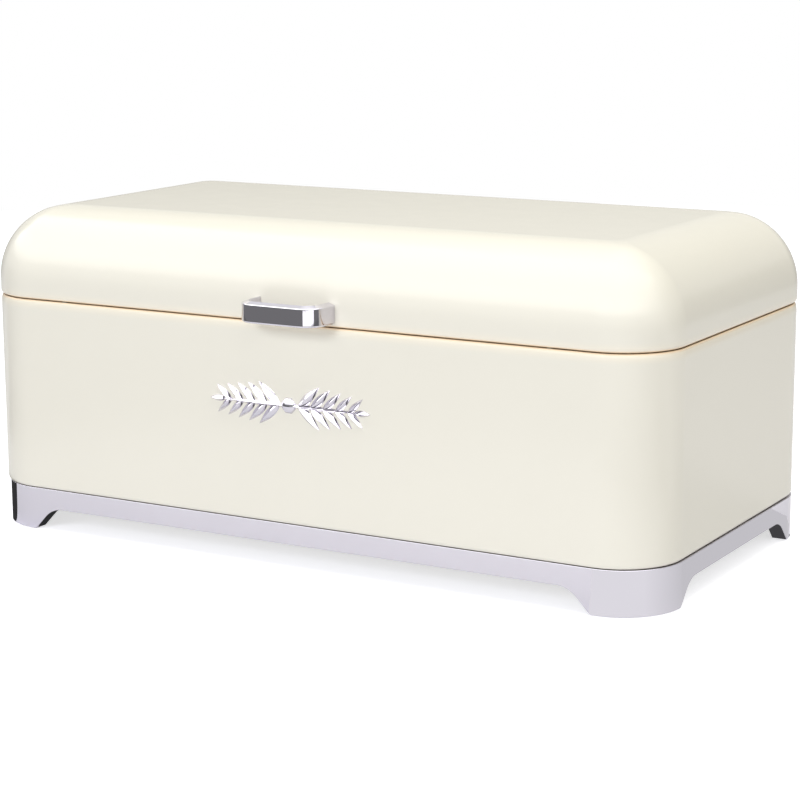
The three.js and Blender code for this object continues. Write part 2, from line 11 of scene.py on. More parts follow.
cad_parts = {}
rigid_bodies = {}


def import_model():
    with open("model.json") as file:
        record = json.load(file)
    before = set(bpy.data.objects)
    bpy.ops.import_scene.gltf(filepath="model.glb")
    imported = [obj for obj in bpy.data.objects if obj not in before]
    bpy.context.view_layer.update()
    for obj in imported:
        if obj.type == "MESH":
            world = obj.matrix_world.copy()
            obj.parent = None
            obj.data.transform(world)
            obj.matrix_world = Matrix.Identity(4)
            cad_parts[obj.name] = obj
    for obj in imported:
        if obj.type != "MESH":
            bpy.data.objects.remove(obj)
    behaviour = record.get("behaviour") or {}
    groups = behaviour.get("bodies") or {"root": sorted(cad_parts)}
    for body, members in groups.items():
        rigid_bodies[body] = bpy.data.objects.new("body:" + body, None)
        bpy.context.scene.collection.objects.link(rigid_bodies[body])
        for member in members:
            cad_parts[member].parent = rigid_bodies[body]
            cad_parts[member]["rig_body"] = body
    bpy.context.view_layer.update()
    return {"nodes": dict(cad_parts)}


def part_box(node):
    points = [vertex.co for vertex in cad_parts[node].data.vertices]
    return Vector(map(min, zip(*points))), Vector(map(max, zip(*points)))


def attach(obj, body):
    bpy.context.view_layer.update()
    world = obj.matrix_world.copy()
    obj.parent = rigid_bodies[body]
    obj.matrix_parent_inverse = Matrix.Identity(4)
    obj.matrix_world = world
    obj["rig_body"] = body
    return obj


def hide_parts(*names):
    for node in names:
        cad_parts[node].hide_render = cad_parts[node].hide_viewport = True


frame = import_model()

bl_info = {
    "name": "Bread Box",
    "version": (1, 0, 0),
    "blender": (4, 5, 0),
    "location": "View3D > Sidebar > Bread Box",
    "description": "Draws a painted steel bread box on a chromed plinth",
    "category": "Add Mesh",
}

MM = 0.001
QUARTER = math.pi / 2
SIDES = {"left": -1, "right": 1}
ENDS = {"front": -1, "back": 1}
X_AXIS = Vector((1, 0, 0))
Y_AXIS = Vector((0, 1, 0))
Z_AXIS = Vector((0, 0, 1))
Z_TO_Y = Matrix.Rotation(-QUARTER, 4, "X")
Z_TO_X = Matrix.Rotation(QUARTER, 4, "Y")

# Points closer than this are merged
TOUCHING = 0.001 * MM
# Edges that turn by less than this are shaded smooth
SMOOTH_TURN = math.radians(32)
# Flats in a rounded edge, and round a washer or nut
EDGE_STEPS = 8
ROUND_STEPS = 48

# Clearances, roundings and heads of the fasteners
SCREW_GAP = 0.05 * MM
STUD_GAP = 0.1 * MM
RIVET_GAP = 0.2 * MM
SCREW_EDGE = 0.08 * MM
NUT_EDGE = 0.1 * MM
RIVET_EDGE = 0.06 * MM
CROSS_LENGTH = 3.4 * MM
CROSS_WIDTH = 0.84 * MM
RIVET_HEAD = 1 * MM
RIVET_TAIL = 0.7 * MM
# Shares of a head's radius or of its height
CROSS_DEPTH = 0.6
SCREW_DOME = 0.8
DOME_FLAT = 0.35
BUMPER_SIDE = 0.55
HEAD_FACE = 0.8
HEAD_SLOPE = 0.4
TAIL_WIDTH = 0.9

# Places that the frame gives
LID_LOW, LID_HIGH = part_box("lid_shell")
WALL_LOW, WALL_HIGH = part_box("body_shell")
COLLAR_LOW, COLLAR_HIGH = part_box("rim_collar")
PAN_LOW, PAN_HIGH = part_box("bottom_pan")
PLINTH_LOW, PLINTH_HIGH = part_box("plinth")
HANDLE_LOW, HANDLE_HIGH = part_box("handle")
WHEAT_LOW, WHEAT_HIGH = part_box("wheat_ornament")
MIDDLE_Y = (LID_LOW.y + LID_HIGH.y) / 2
HALF_WIDTH = LID_HIGH.x
HALF_DEPTH = LID_HIGH.y - MIDDLE_Y
SEAM_Z = (WALL_HIGH.z + LID_LOW.z) / 2
# The plinth sits a little to the right; its inset is measured from the lid's outside
PLINTH_X = (PLINTH_LOW.x + PLINTH_HIGH.x) / 2
PLINTH_INSET = HALF_WIDTH - (PLINTH_HIGH.x - PLINTH_X)


# Settings


def length(name, description, millimetres):
    value = millimetres * MM
    return FloatProperty(name=name, description=description, default=value, precision=5, unit="LENGTH")


def metres(name, description, value):
    return FloatProperty(name=name, description=description, default=value, min=0, unit="LENGTH")


def steps(name, description, value):
    return IntProperty(name=name, description=description, default=value, min=2)


def colour(name, description, red, green, blue):
    value = (red, green, blue)
    return FloatVectorProperty(
        name=name, description=description, default=value, min=0, max=1, subtype="COLOR"
    )


def share(name, description, value):
    return FloatProperty(
        name=name, description=description, default=value, min=0, max=1, subtype="FACTOR"
    )


def turn(name, description, degrees):
    value = math.radians(degrees)
    return FloatProperty(name=name, description=description, default=value, subtype="ANGLE")


def power(name, description, watts):
    return FloatProperty(name=name, description=description, default=watts, min=0, unit="POWER")


def place(name, description, x, y, z):
    return FloatVectorProperty(
        name=name, description=description, default=(x, y, z), subtype="XYZ", unit="LENGTH"
    )


class ShellSizes(bpy.types.PropertyGroup):
    corner_radius: length("Corner radius", "Radius of the upright corners, measured on the lid", 35)
    corner_steps: steps("Corner steps", "Flats round an upright corner", 28)
    sheet: length("Sheet", "Thickness of the painted sheet", 1)
    lid_fillet: length("Lid fillet", "Radius between the top of the lid and its sides", 40.7)
    lid_top_corner: length("Lid top corner", "Radius of the flat top's corners in plan", 6)
    lid_top_blend: length("Lid top blend", "How softly the corner radius settles to the top's", 3)
    lid_curl: length("Lid curl", "Radius of the rolled rim of the lid", 2.5)
    lid_flange: length("Lid flange", "Width of the rim that turns in under the lid", 6)
    rim_dip: length("Rim dip", "How far the flanges lie behind the rolled rims", 0.6)
    rim_roll: length("Rim roll", "How far the rim of the bin rolls in", 1.3)
    rim_fall: length("Rim fall", "Height over which it does so", 5)
    rim_flange: length("Rim flange", "Width of the bin's upper flange", 6)
    bottom_curl: length("Bottom curl", "Radius of the bin's bottom edge", 2.5)
    bottom_flange: length("Bottom flange", "Width of the bin's lower flange", 12)
    collar_sheet: length("Collar sheet", "Thickness of the collar inside the rim", 0.8)
    floor_curl: length("Floor curl", "Radius of the edge of the floor tray", 1.5)


class PlinthSizes(bpy.types.PropertyGroup):
    sheet: length("Sheet", "Thickness of the chromed sheet", 1.2)
    lip: length("Lip", "Radius of the upper edge", 0.25)
    flange: length("Flange", "Width of the flange under the bin", 14)
    channel: length("Channel", "Depth of the lip that turns in along the arches", 8.7)
    front_foot: length("Front foot", "From an end of the front to the start of its arch", 35.8)
    side_foot: length("Side foot", "From an end of a side to the start of its arch", 33.8)
    foot_slope: turn("Foot slope", "Slope of the ends of the arches", 46.5)
    arch_height: length("Arch height", "Height of the arches over the feet's metal", 12.7)
    arch_fillet: length("Arch fillet", "Radius at the shoulders of the arches", 16)
    arch_steps: steps("Arch steps", "Flats in a shoulder", 10)
    pad_gap: length("Pad gap", "Clearance round a rubber foot", 0.3)
    pad_edge: length("Pad edge", "Rounding of the rubber feet", 0.3)
    edge: length("Edge", "Rounding of the plinth's cut edges", 0.3)


class HandleSizes(bpy.types.PropertyGroup):
    strap: length("Strap", "Thickness of the strap", 4)
    corner: length("Corner", "Outer radius of the bends", 11)
    lower_edge: length("Lower edge", "Radius of the strap's lower edge in front", 1.2)
    edge: length("Edge", "Radius of its other long edges", 0.5)
    cut_edge: length("Cut edge", "Rounding where the legs end", 0.12)
    bevel: length("Bevel", "How much lower the upper side of the strap is in front", 1.1)
    gap: length("Gap", "Clearance between the strap's legs and the lid", 0.05)
    stud_radius: length("Stud radius", "Radius of the threaded studs", 1.25)
    bend_steps: steps("Bend steps", "Flats in a bend", 16)


class WheatSizes(bpy.types.PropertyGroup):
    relief: length("Relief", "Height of the largest grains over the wall", 2.5)
    stem: length("Stem", "Half the height of the stem at the knot", 1.4)
    stem_relief: length("Stem relief", "Relief of the stem", 2.1)
    stem_overlap: share("Stem overlap", "How far the stems cross the knot, beside their length", 0.15)
    grain_length: length("Grain length", "Length of the grains next to the knot", 18.5)
    grain_width: length("Grain width", "Width of the grains next to the knot", 5.2)
    grain_tilt: turn("Grain tilt", "Angle between a grain and the stem", 43)
    grain_pairs: steps("Grain pairs", "Pairs of grains on each ear", 5)
    grain_taper: share("Grain taper", "Smallest grain beside the largest one", 0.7)
    first_grain: length("First grain", "From the middle to the first pair of grains", 6.5)
    pitch: length("Pitch", "From one pair of grains to the next", 7.6)
    root: length("Root", "How far a grain starts behind the stem's middle", 1.5)
    tip_grain: length("Tip grain", "Length of the grain at the end of an ear", 10)
    knot: length("Knot", "Radius of the knot in the middle", 4.6)
    knot_relief: length("Knot relief", "Relief of the knot", 3)
    pin_spacing: length("Pin spacing", "Distance between the pins behind the ornament", 60)
    pin_radius: length("Pin radius", "Radius of those pins", 1)


class HingeSizes(bpy.types.PropertyGroup):
    width: length("Width", "Width of a hinge", 30)
    middle: length("Middle knuckle", "Width of the lid's knuckle", 10)
    knuckle: length("Knuckle", "Radius of the knuckles", 2.8)
    knuckle_gap: length("Knuckle gap", "Clearance beside the middle knuckle", 0.2)
    leaf: length("Leaf", "Thickness of the leaves", 1.2)
    clearance: length("Clearance", "Clearance between a leaf's edge and the knuckles", 0.4)
    lid_leaf: length("Lid leaf", "Height of the lid's leaf over the axis", 8.8)
    bin_leaf: length("Bin leaf", "Depth of the bin's leaf below the axis", 17)
    step_start: length("Step start", "Where the bin's leaf steps in to the wall", 7)
    step_height: length("Step height", "Height of that step", 1.5)
    step_depth: length("Step depth", "Depth of that step", 0.3)
    bore: length("Bore", "Radius of the bore", 1.3)
    pin: length("Pin", "Radius of the pin", 1.2)
    pin_head: length("Pin head", "Radius of the pin's heads", 1.9)
    pin_edge: length("Pin edge", "Rounding of the pin's heads", 0.08)
    lug_length: length("Lug length", "Reach of the stop lug from the axis", 6)
    lug_thickness: length("Lug thickness", "Thickness of the stop lug", 1.6)
    lug_width: length("Lug width", "Width of the stop lug", 8)
    lug_turn: turn("Lug turn", "Angle of the stop lug from straight up", 79.7)
    rivet: length("Rivet", "Radius of a rivet's shank", 1.2)
    edge: length("Edge", "Rounding of the leaves' edges", 0.2)


class FinishColours(bpy.types.PropertyGroup):
    enamel: colour("Enamel", "Colour of the paint", 0.80, 0.772, 0.68)
    # Painted highlight: a warm, lighter band on the bin's rolled rim below the seam
    rim_painted_highlight: colour("Rim tone", "Colour that the paint takes on near the seam", 0.86, 0.80, 0.67)
    rim_painted_highlight_reach: length("Rim tone reach", "How far from the seam it does so", 6)
    # Painted bounce light: a warm tone on the paint in the seam, for light bounced between the cream rims
    seam_painted_bounce: colour("Seam tone", "Colour of the paint in the seam", 0.9, 0.70, 0.47)
    seam_painted_bounce_reach: length("Seam tone reach", "How far that tone goes", 1.8)
    # Painted shadow: a dark line on the paint where the bin meets the plinth
    base_painted_shadow: colour("Base tone", "Colour of the paint where the bin meets the plinth", 0.2, 0.18, 0.15)
    base_painted_shadow_reach: length("Base tone reach", "How far up it goes", 0.9)
    # Painted bounce light: a warm band on the collar where the seam shows it
    collar: colour("Collar", "Colour of the paint on the collar in the seam", 0.8, 0.5, 0.26)
    collar_painted_bounce_reach: length("Collar reach", "How far that colour goes up and down the collar", 4)
    enamel_roughness: share("Enamel roughness", "Roughness of the paint", 0.2)
    chrome: colour("Chrome", "Colour of the chrome plate", 0.675, 0.655, 0.71)
    chrome_roughness: share("Chrome roughness", "Roughness of the chrome plate", 0.035)
    zinc: colour("Zinc", "Colour of the zinc plate", 0.56, 0.57, 0.59)
    zinc_roughness: share("Zinc roughness", "Roughness of the zinc plate", 0.32)
    rubber: colour("Rubber", "Colour of the feet", 0.018, 0.018, 0.019)
    silicone: colour("Silicone", "Colour of the bumpers", 0.62, 0.61, 0.57)


class StageSettings(bpy.types.PropertyGroup):
    camera_place: place("Camera", "Where the camera stands", 0.6346, -1.0866, 0.3322)
    camera_yaw: turn("Camera yaw", "Turn of the camera to the left of the back", 29.97)
    camera_pitch: turn("Camera pitch", "How far the camera looks down", 11.61)
    camera_roll: turn("Camera roll", "Tilt of the camera", -0.28)
    camera_lens: FloatProperty(name="Lens", description="Focal length", default=102.14, unit="CAMERA")
    ambient: share("Ambient", "Strength of the light from all round", 0.335)
    floor: colour("Floor", "Colour of the floor", 0.8, 0.805, 0.86)
    floor_lift: share("Floor lift", "White added to the floor in direct view", 0.66)
    floor_mirrored: share("Mirrored lift", "Share of that white which reflections see", 0.17)
    floor_radius: metres("Floor radius", "Radius of the floor", 1.6)


class LightSettings(bpy.types.PropertyGroup):
    overhead_power: power("Overhead power", "Power of the overhead softbox", 13.3)
    overhead_tint: colour("Overhead tint", "Colour of the overhead light", 1, 0.975, 0.88)
    upper_right_power: power("Upper right power", "Power of the upper right softbox", 7.5)
    upper_right_tint: colour("Upper right tint", "Colour of the upper right light", 1, 0.985, 0.9)
    front_power: power("Front power", "Power of the front softbox", 15.9)
    front_tint: colour("Front tint", "Colour of the front light", 0.93, 0.955, 1)
    low_front_power: power("Low front power", "Power of the low front softbox", 3.8)
    low_front_tint: colour("Low front tint", "Colour of the low front light", 1, 1, 1)
    front_right_power: power("Front right power", "Power of the front right softbox", 6.7)
    front_right_tint: colour("Front right tint", "Colour of the front right light", 1, 1, 1)


SETTINGS = {
    "bread_shell": ShellSizes,
    "bread_plinth": PlinthSizes,
    "bread_handle": HandleSizes,
    "bread_wheat": WheatSizes,
    "bread_hinge": HingeSizes,
    "bread_finish": FinishColours,
    "bread_stage": StageSettings,
    "bread_lights": LightSettings,
}


# Shader nodes


def fill(tree, node, values):
    """Sets sockets of a node, or links them where the value is another node's socket."""
    for label, value in values.items():
        if isinstance(value, bpy.types.NodeSocket):
            tree.links.new(value, node.inputs[label])
        else:
            node.inputs[label].default_value = value


def new_node(tree, kind, values, **fields):
    node = tree.nodes.new(kind)
    for field, value in fields.items():
        setattr(node, field, value)
    fill(tree, node, values)
    return node


def arithmetic(tree, operation, *values):
    return new_node(tree, "ShaderNodeMath", dict(enumerate(values)), operation=operation).outputs[0]


def place_on_object(tree):
    return new_node(tree, "ShaderNodeTexCoord", {}).outputs["Object"]


def noise(tree, scale, detail, vector=None):
    values = {"Vector": vector or place_on_object(tree), "Scale": scale, "Detail": detail}
    return new_node(tree, "ShaderNodeTexNoise", values).outputs["Fac"]


def node_group(name, inputs, output):
    """A new shader node group; returns it with the sockets that its inside reads and fills."""
    group = bpy.data.node_groups.new(name, "ShaderNodeTree")
    for label, kind, value in inputs:
        socket = group.interface.new_socket(name=label, in_out="INPUT", socket_type=kind)
        socket.default_value = value
    label, kind = output
    group.interface.new_socket(name=label, in_out="OUTPUT", socket_type=kind)
    given = group.nodes.new("NodeGroupInput").outputs
    result = group.nodes.new("NodeGroupOutput").inputs[label]
    return group, given, result


NUMBER = "NodeSocketFloat"
COLOUR = "NodeSocketColor"
VECTOR = "NodeSocketVector"


def colour_drift(name):
    """Lets a colour drift a little lighter and darker over the surface."""
    inputs = [("Colour", COLOUR, (0.8, 0.8, 0.8, 1)), ("Scale", NUMBER, 10), ("Amount", NUMBER, 0.03)]
    group, given, result = node_group(name, inputs, ("Colour", COLOUR))
    centred = arithmetic(group, "SUBTRACT", noise(group, given["Scale"], detail=3), 0.5)
    factor = arithmetic(group, "MULTIPLY_ADD", centred, given["Amount"], 1)
    shade = new_node(group, "ShaderNodeHueSaturation", {"Color": given["Colour"], "Value": factor})
    group.links.new(shade.outputs["Color"], result)
    return group


def patchy_value(name):
    """A value that wanders between two limits in patches of a given scale."""
    inputs = [("Scale", NUMBER, 60), ("Low", NUMBER, 0.1), ("High", NUMBER, 0.2)]
    group, given, result = node_group(name, inputs, ("Value", NUMBER))
    wave = noise(group, given["Scale"], detail=4)
    limits = {"From Min": 0.3, "From Max": 0.7, "To Min": given["Low"], "To Max": given["High"]}
    spread = new_node(group, "ShaderNodeMapRange", {"Value": wave, **limits})
    group.links.new(spread.outputs["Result"], result)
    return group


def orange_peel(name, finer=5):
    """The slow waves and the fine ripple that a sprayed or dipped skin dries with."""
    inputs = [("Scale", NUMBER, 300), ("Ripple", NUMBER, 0.3)]
    group, given, result = node_group(name, inputs, ("Height", NUMBER))
    coarse = noise(group, given["Scale"], detail=1)
    fine = noise(group, arithmetic(group, "MULTIPLY", given["Scale"], finer), detail=2)
    group.links.new(arithmetic(group, "MULTIPLY_ADD", fine, given["Ripple"], coarse), result)
    return group


def height_band(name):
    """A mask that is 1 at one height of the piece and fades out above and below it."""
    inputs = [("Middle", NUMBER, 0.1), ("Reach", NUMBER, 0.01)]
    group, given, result = node_group(name, inputs, ("Mask", NUMBER))
    split = new_node(group, "ShaderNodeSeparateXYZ", {"Vector": place_on_object(group)})
    offset = arithmetic(group, "SUBTRACT", split.outputs["Z"], given["Middle"])
    distance = arithmetic(group, "ABSOLUTE", offset)
    limits = {"From Max": given["Reach"], "To Min": 1, "To Max": 0}
    fade = new_node(
        group, "ShaderNodeMapRange", {"Value": distance, **limits}, interpolation_type="SMOOTHSTEP"
    )
    group.links.new(fade.outputs["Result"], result)
    return group


def hairlines(name):
    """Fine polishing lines, drawn out along one axis by the stretch."""
    inputs = [("Stretch", VECTOR, (40, 2500, 2500))]
    group, given, result = node_group(name, inputs, ("Height", NUMBER))
    factors = {0: place_on_object(group), 1: given["Stretch"]}
    stretched = new_node(group, "ShaderNodeVectorMath", factors, operation="MULTIPLY")
    group.links.new(noise(group, 1, detail=3, vector=stretched.outputs["Vector"]), result)
    return group


GROUPS = {
    "Colour drift": colour_drift,
    "Patchy value": patchy_value,
    "Orange peel": orange_peel,
    "Height band": height_band,
    "Hairlines": hairlines,
}


# Finishes


class Finish:
    """A material with a Principled shader, and the groups that feed its patterned sockets."""

    def __init__(self, name, **sockets):
        self.material = bpy.data.materials.new(name)
        self.material.use_nodes = True
        self.tree = self.material.node_tree
        self.shader = self.tree.nodes["Principled BSDF"]
        self.fill({label.replace("_", " "): value for label, value in sockets.items()})

    def fill(self, values):
        fill(self.tree, self.shader, values)

    def group(self, name, **values):
        """Places a shared group, which is made the first time that it is asked for."""
        shared = bpy.data.node_groups.get(name) or GROUPS[name](name)
        return new_node(self.tree, "ShaderNodeGroup", values, node_tree=shared).outputs[0]

    def colour(self, shade, scale, amount, painted_light_bands=()):
        """The drifting base colour; each band is the colour of a painted light or shade, the height it lies
        at and its reach.
        """
        tone = self.group("Colour drift", Colour=(*shade, 1), Scale=scale, Amount=amount)
        for painted_band_shade, middle, reach in painted_light_bands:
            mask = self.group("Height band", Middle=middle, Reach=reach)
            values = {"Factor": mask, "A": tone, "B": (*painted_band_shade, 1)}
            tone = new_node(self.tree, "ShaderNodeMix", values, data_type="RGBA").outputs["Result"]
        self.fill({"Base Color": tone})

    def roughness(self, middle, spread, scale):
        low, high = max(middle - spread, 0), min(middle + spread, 1)
        self.fill({"Roughness": self.group("Patchy value", Scale=scale, Low=low, High=high)})

    def bump(self, height, strength, distance):
        values = {"Strength": strength, "Distance": distance, "Height": height}
        self.fill({"Normal": new_node(self.tree, "ShaderNodeBump", values).outputs["Normal"]})


def painted(name, shade, roughness, painted_light_bands):
    finish = Finish(name)
    finish.colour(shade, scale=14, amount=0.012, painted_light_bands=painted_light_bands)
    finish.roughness(roughness, spread=0.006, scale=90)
    finish.bump(finish.group("Orange peel", Scale=420, Ripple=0.35), strength=0.1, distance=0.006 * MM)
    return finish.material


def enamel(name, settings):
    # The bands paint light and shade: a warm highlight on the bin's rim, warm bounce light in the seam and
    # a dark shadow line where the bin meets the plinth
    painted_light_bands = [
        (settings.rim_painted_highlight, WALL_HIGH.z, settings.rim_painted_highlight_reach),
        (settings.seam_painted_bounce, SEAM_Z, settings.seam_painted_bounce_reach),
        (settings.base_painted_shadow, WALL_LOW.z, settings.base_painted_shadow_reach),
    ]
    return painted(name, settings.enamel, settings.enamel_roughness, painted_light_bands)


def collar_painted_bounce_enamel(name, settings):
    # Its band is warm painted bounce light at the seam
    painted_light_bands = [(settings.collar, SEAM_Z, settings.collar_painted_bounce_reach)]
    return painted(name, settings.enamel, settings.enamel_roughness, painted_light_bands)


def chrome(name, settings):
    finish = Finish(name, Metallic=1, IOR=1.5)
    finish.colour(settings.chrome, scale=30, amount=0.03)
    finish.roughness(settings.chrome_roughness, spread=0.008, scale=160)
    finish.bump(finish.group("Orange peel", Scale=120, Ripple=0.05), strength=0.1, distance=0.01 * MM)
    return finish.material


def zinc(name, settings):
    finish = Finish(name, Metallic=1, IOR=1.5)
    finish.colour(settings.zinc, scale=260, amount=0.12)
    finish.roughness(settings.zinc_roughness, spread=0.08, scale=700)
    finish.bump(finish.group("Hairlines", Stretch=(300, 4000, 4000)), strength=0.25, distance=0.02 * MM)
    return finish.material


def rubber(name, settings):
    finish = Finish(name)
    finish.colour(settings.rubber, scale=400, amount=0.25)
    finish.roughness(0.75, spread=0.08, scale=900)
    finish.bump(finish.group("Orange peel", Scale=1800, Ripple=0.5), strength=0.5, distance=0.04 * MM)
    return finish.material


def silicone(name, settings):
    finish = Finish(name, IOR=1.41, Subsurface_Weight=0.4, Subsurface_Radius=(1, 1, 1))
    finish.fill({"Subsurface Scale": 0.8 * MM})
    finish.colour(settings.silicone, scale=300, amount=0.05)
    finish.roughness(0.35, spread=0.06, scale=800)
    finish.bump(finish.group("Orange peel", Scale=900, Ripple=0.3), strength=0.2, distance=0.03 * MM)
    return finish.material


FINISHES = {
    "paint": ("Cream enamel", enamel),
    "collar": ("Collar enamel", collar_painted_bounce_enamel),
    "chrome": ("Chrome plate", chrome),
    "zinc": ("Zinc plate", zinc),
    "rubber": ("Black rubber", rubber),
    "silicone": ("Clear silicone", silicone),
}


def finish_for(key):
    name, make = FINISHES[key]
    return bpy.data.materials.get(name) or make(name, bpy.context.scene.bread_finish)


# Meshes


def mesh_object(name, points, faces):
    mesh = bpy.data.meshes.new(name)
    mesh.from_pydata([tuple(point) for point in points], [], faces)
    mesh.validate()
    made = bpy.data.objects.new(name, mesh)
    bpy.context.scene.collection.objects.link(made)
    return made


def skin(rings, loop):
    """Faces through rings of points: a loop closes on itself, a stack has a flat face at each end."""
    count = len(rings[0])
    faces = []
    for band in range(len(rings) if loop else len(rings) - 1):
        lower = band * count
        upper = (band + 1) % len(rings) * count
        for side in range(count):
            following = (side + 1) % count
            faces.append((lower + side, lower + following, upper + following, upper + side))
    if not loop:
        last = (len(rings) - 1) * count
        faces.append(tuple(range(count - 1, -1, -1)))
        faces.append(tuple(range(last, last + count)))
    return [point for ring in rings for point in ring], faces


def lathe(profile, segments=32):
    """Points and faces turned round Z: the profile runs from one end of the axis to the other."""
    points, faces, rows = [], [], []
    for radius, along in profile:
        turns = segments if radius > 0 else 1
        rows.append((len(points), turns))
        for side in range(turns):
            angle = math.tau * side / segments
            points.append(Vector((radius * math.cos(angle), radius * math.sin(angle), along)))
    for (lower, lower_turns), (upper, upper_turns) in zip(rows, rows[1:]):
        for side in range(segments):
            following = (side + 1) % segments
            corners = [
                lower + side % lower_turns,
                lower + following % lower_turns,
                upper + following % upper_turns,
                upper + side % upper_turns,
            ]
            faces.append(tuple(dict.fromkeys(corners)))
    return points, faces


def rod(radius, start, end, segments=24):
    return lathe([(0, start), (radius, start), (radius, end), (0, end)], segments)


def ring_round_z(section_at):
    """A ring round Z; its section, as reaches and heights, may change from step to step."""
    spokes = []
    for step in range(ROUND_STEPS):
        angle = math.tau * step / ROUND_STEPS
        way = Vector((math.cos(angle), math.sin(angle), 0))
        spokes.append([way * reach + Z_AXIS * height for reach, height in section_at(step)])
    return skin(list(zip(*spokes)), loop=True)


def prism(outline, basis, start, end):
    """An outline drawn in the first two axes of a basis, drawn out along the third."""
    across, up, along = basis
    rings = [[across * u + up * v + along * reach for u, v in outline] for reach in (start, end)]
    return skin(rings, loop=False)


def cuboid(first, second):
    (left, right), (front, back), (low, high) = (sorted(pair) for pair in zip(first, second))
    outline = [(left, front), (right, front), (right, back), (left, back)]
    return prism(outline, (X_AXIS, Y_AXIS, Z_AXIS), low, high)


def moved(shape, matrix):
    points, faces = shape
    return [matrix @ point for point in points], faces


def shift(x, y, z):
    return Matrix.Translation((x, y, z))


def joined(shapes):
    """Several shapes as one, without joining what touches."""
    points, faces = [], []
    for some_points, some_faces in shapes:
        faces += [tuple(corner + len(points) for corner in face) for face in some_faces]
        points += some_points
    return points, faces


def shape_of(made):
    """The points and faces of an object, which is then removed."""
    mesh = made.data
    shape = ([point.co.copy() for point in mesh.vertices], [tuple(face.vertices) for face in mesh.polygons])
    bpy.data.objects.remove(made)
    bpy.data.meshes.remove(mesh)
    return shape


def combine(made, shapes, operation, self_crossing=False):
    """Joins shapes to an object, or cuts or keeps what it shares with them."""
    tools = [mesh_object("tool", *shape) for shape in shapes]
    for tool in tools:
        step = made.modifiers.new("combine", "BOOLEAN")
        step.operation = operation
        step.solver = "EXACT"
        step.use_self = self_crossing
        step.object = tool
    graph = bpy.context.evaluated_depsgraph_get()
    combined = bpy.data.meshes.new_from_object(made.evaluated_get(graph))
    made.modifiers.clear()
    plain = made.data
    made.data = combined
    bpy.data.meshes.remove(plain)
    for tool in tools:
        shape_of(tool)
    if not combined.polygons:
        raise RuntimeError(f"{made.name} has no faces left after {operation}")


def outward(made):
    """Turns all faces out and merges points that lie together."""
    work = bmesh.new()
    work.from_mesh(made.data)
    bmesh.ops.remove_doubles(work, verts=work.verts, dist=TOUCHING)
    bmesh.ops.recalc_face_normals(work, faces=work.faces)
    work.to_mesh(made.data)
    work.free()


def dress(made, node, slot, edge=0, segments=2, finish=None):
    """Smooths a piece, gives it its finish, and lets it stand for its node on that node's body."""
    outward(made)
    made.data.shade_smooth()
    made.data.set_sharp_from_angle(angle=SMOOTH_TURN)
    if edge:
        rounding = made.modifiers.new("rounded edges", "BEVEL")
        rounding.width = edge
        rounding.segments = segments
        rounding.limit_method = "ANGLE"
        rounding.angle_limit = SMOOTH_TURN
        rounding.use_clamp_overlap = True
    weighting = made.modifiers.new("flat faces first", "WEIGHTED_NORMAL")
    weighting.keep_sharp = not edge
    made.data.materials.clear()
    made.data.materials.append(finish_for(finish or slot))
    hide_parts(node)
    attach(made, frame["nodes"][node]["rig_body"])


def place_of(node):
    """Middle and size of a node."""
    low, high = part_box(node)
    return (low + high) / 2, high - low


# Rounded rectangles of the box


def angles(start, end, count):
    return [start + (end - start) * step / count for step in range(count + 1)]


def arc(centre, reach, start, end, count):
    """Points of an elliptical arc in a section, which starts on the outside and turns upwards."""
    return [
        (centre[0] - reach[0] * math.cos(angle), centre[1] + reach[1] * math.sin(angle))
        for angle in angles(start, end, count)
    ]


def ring(inset, height, least_radius=0, blend=0):
    """Points round the box, drawn in by an inset from the outside of the lid."""
    sizes = bpy.context.scene.bread_shell
    radius = sizes.corner_radius - inset
    if least_radius:
        radius = (radius + least_radius + math.hypot(radius - least_radius, blend)) / 2
    radius = max(radius, 0)
    centre_x = HALF_WIDTH - inset - radius
    centre_y = HALF_DEPTH - inset - radius
    points = []
    for quarter, sign_x, sign_y in ((0, 1, 1), (1, -1, 1), (2, -1, -1), (3, 1, -1)):
        for angle in angles(QUARTER * quarter, QUARTER * (quarter + 1), sizes.corner_steps):
            x = sign_x * centre_x + radius * math.cos(angle)
            y = MIDDLE_Y + sign_y * centre_y + radius * math.sin(angle)
            points.append(Vector((x, y, height)))
    return points


def wall_loop(section):
    return skin([ring(inset, height) for inset, height in section], loop=True)


def bin_wall(sizes):
    top, bottom = WALL_HIGH.z, WALL_LOW.z
    wall = HALF_WIDTH - WALL_HIGH.x
    rolled = (wall + sizes.rim_roll, top - sizes.rim_fall)
    curl, inner_curl = sizes.bottom_curl, sizes.bottom_curl - sizes.sheet
    curl_centre = (wall + curl, bottom + curl)
    flange_top = top - sizes.rim_dip
    rim_edge, bottom_edge = wall + sizes.rim_flange, wall + sizes.bottom_flange
    section = [
        (bottom_edge, bottom),
        *arc(curl_centre, (curl, curl), -QUARTER, 0, count=10),
        *arc(rolled, (sizes.rim_roll, sizes.rim_fall), 0, QUARTER, count=14),
        (rolled[0] + sizes.rim_dip, flange_top),
        (rim_edge, flange_top),
        (rim_edge, flange_top - sizes.sheet),
        (rolled[0] + sizes.sheet, flange_top - sizes.sheet),
        (wall + sizes.sheet, rolled[1]),
        *arc(curl_centre, (inner_curl, inner_curl), 0, -QUARTER, count=6),
        (bottom_edge, bottom + sizes.sheet),
    ]
    dress(mesh_object("painted_wall", *wall_loop(section)), "body_shell", "paint")


def rim_collar(sizes):
    half = sizes.collar_sheet / 2
    middle = HALF_WIDTH - COLLAR_HIGH.x + half
    section = [
        *arc((middle, COLLAR_HIGH.z - half), (half, half), 0, 2 * QUARTER, count=8),
        *arc((middle, COLLAR_LOW.z + half), (half, half), -2 * QUARTER, 0, count=8),
    ]
    made = mesh_object("inner_collar", *wall_loop(section))
    # The collar's finish has a band of warm painted bounce light at the seam
    dress(made, "rim_collar", "paint", finish="collar")


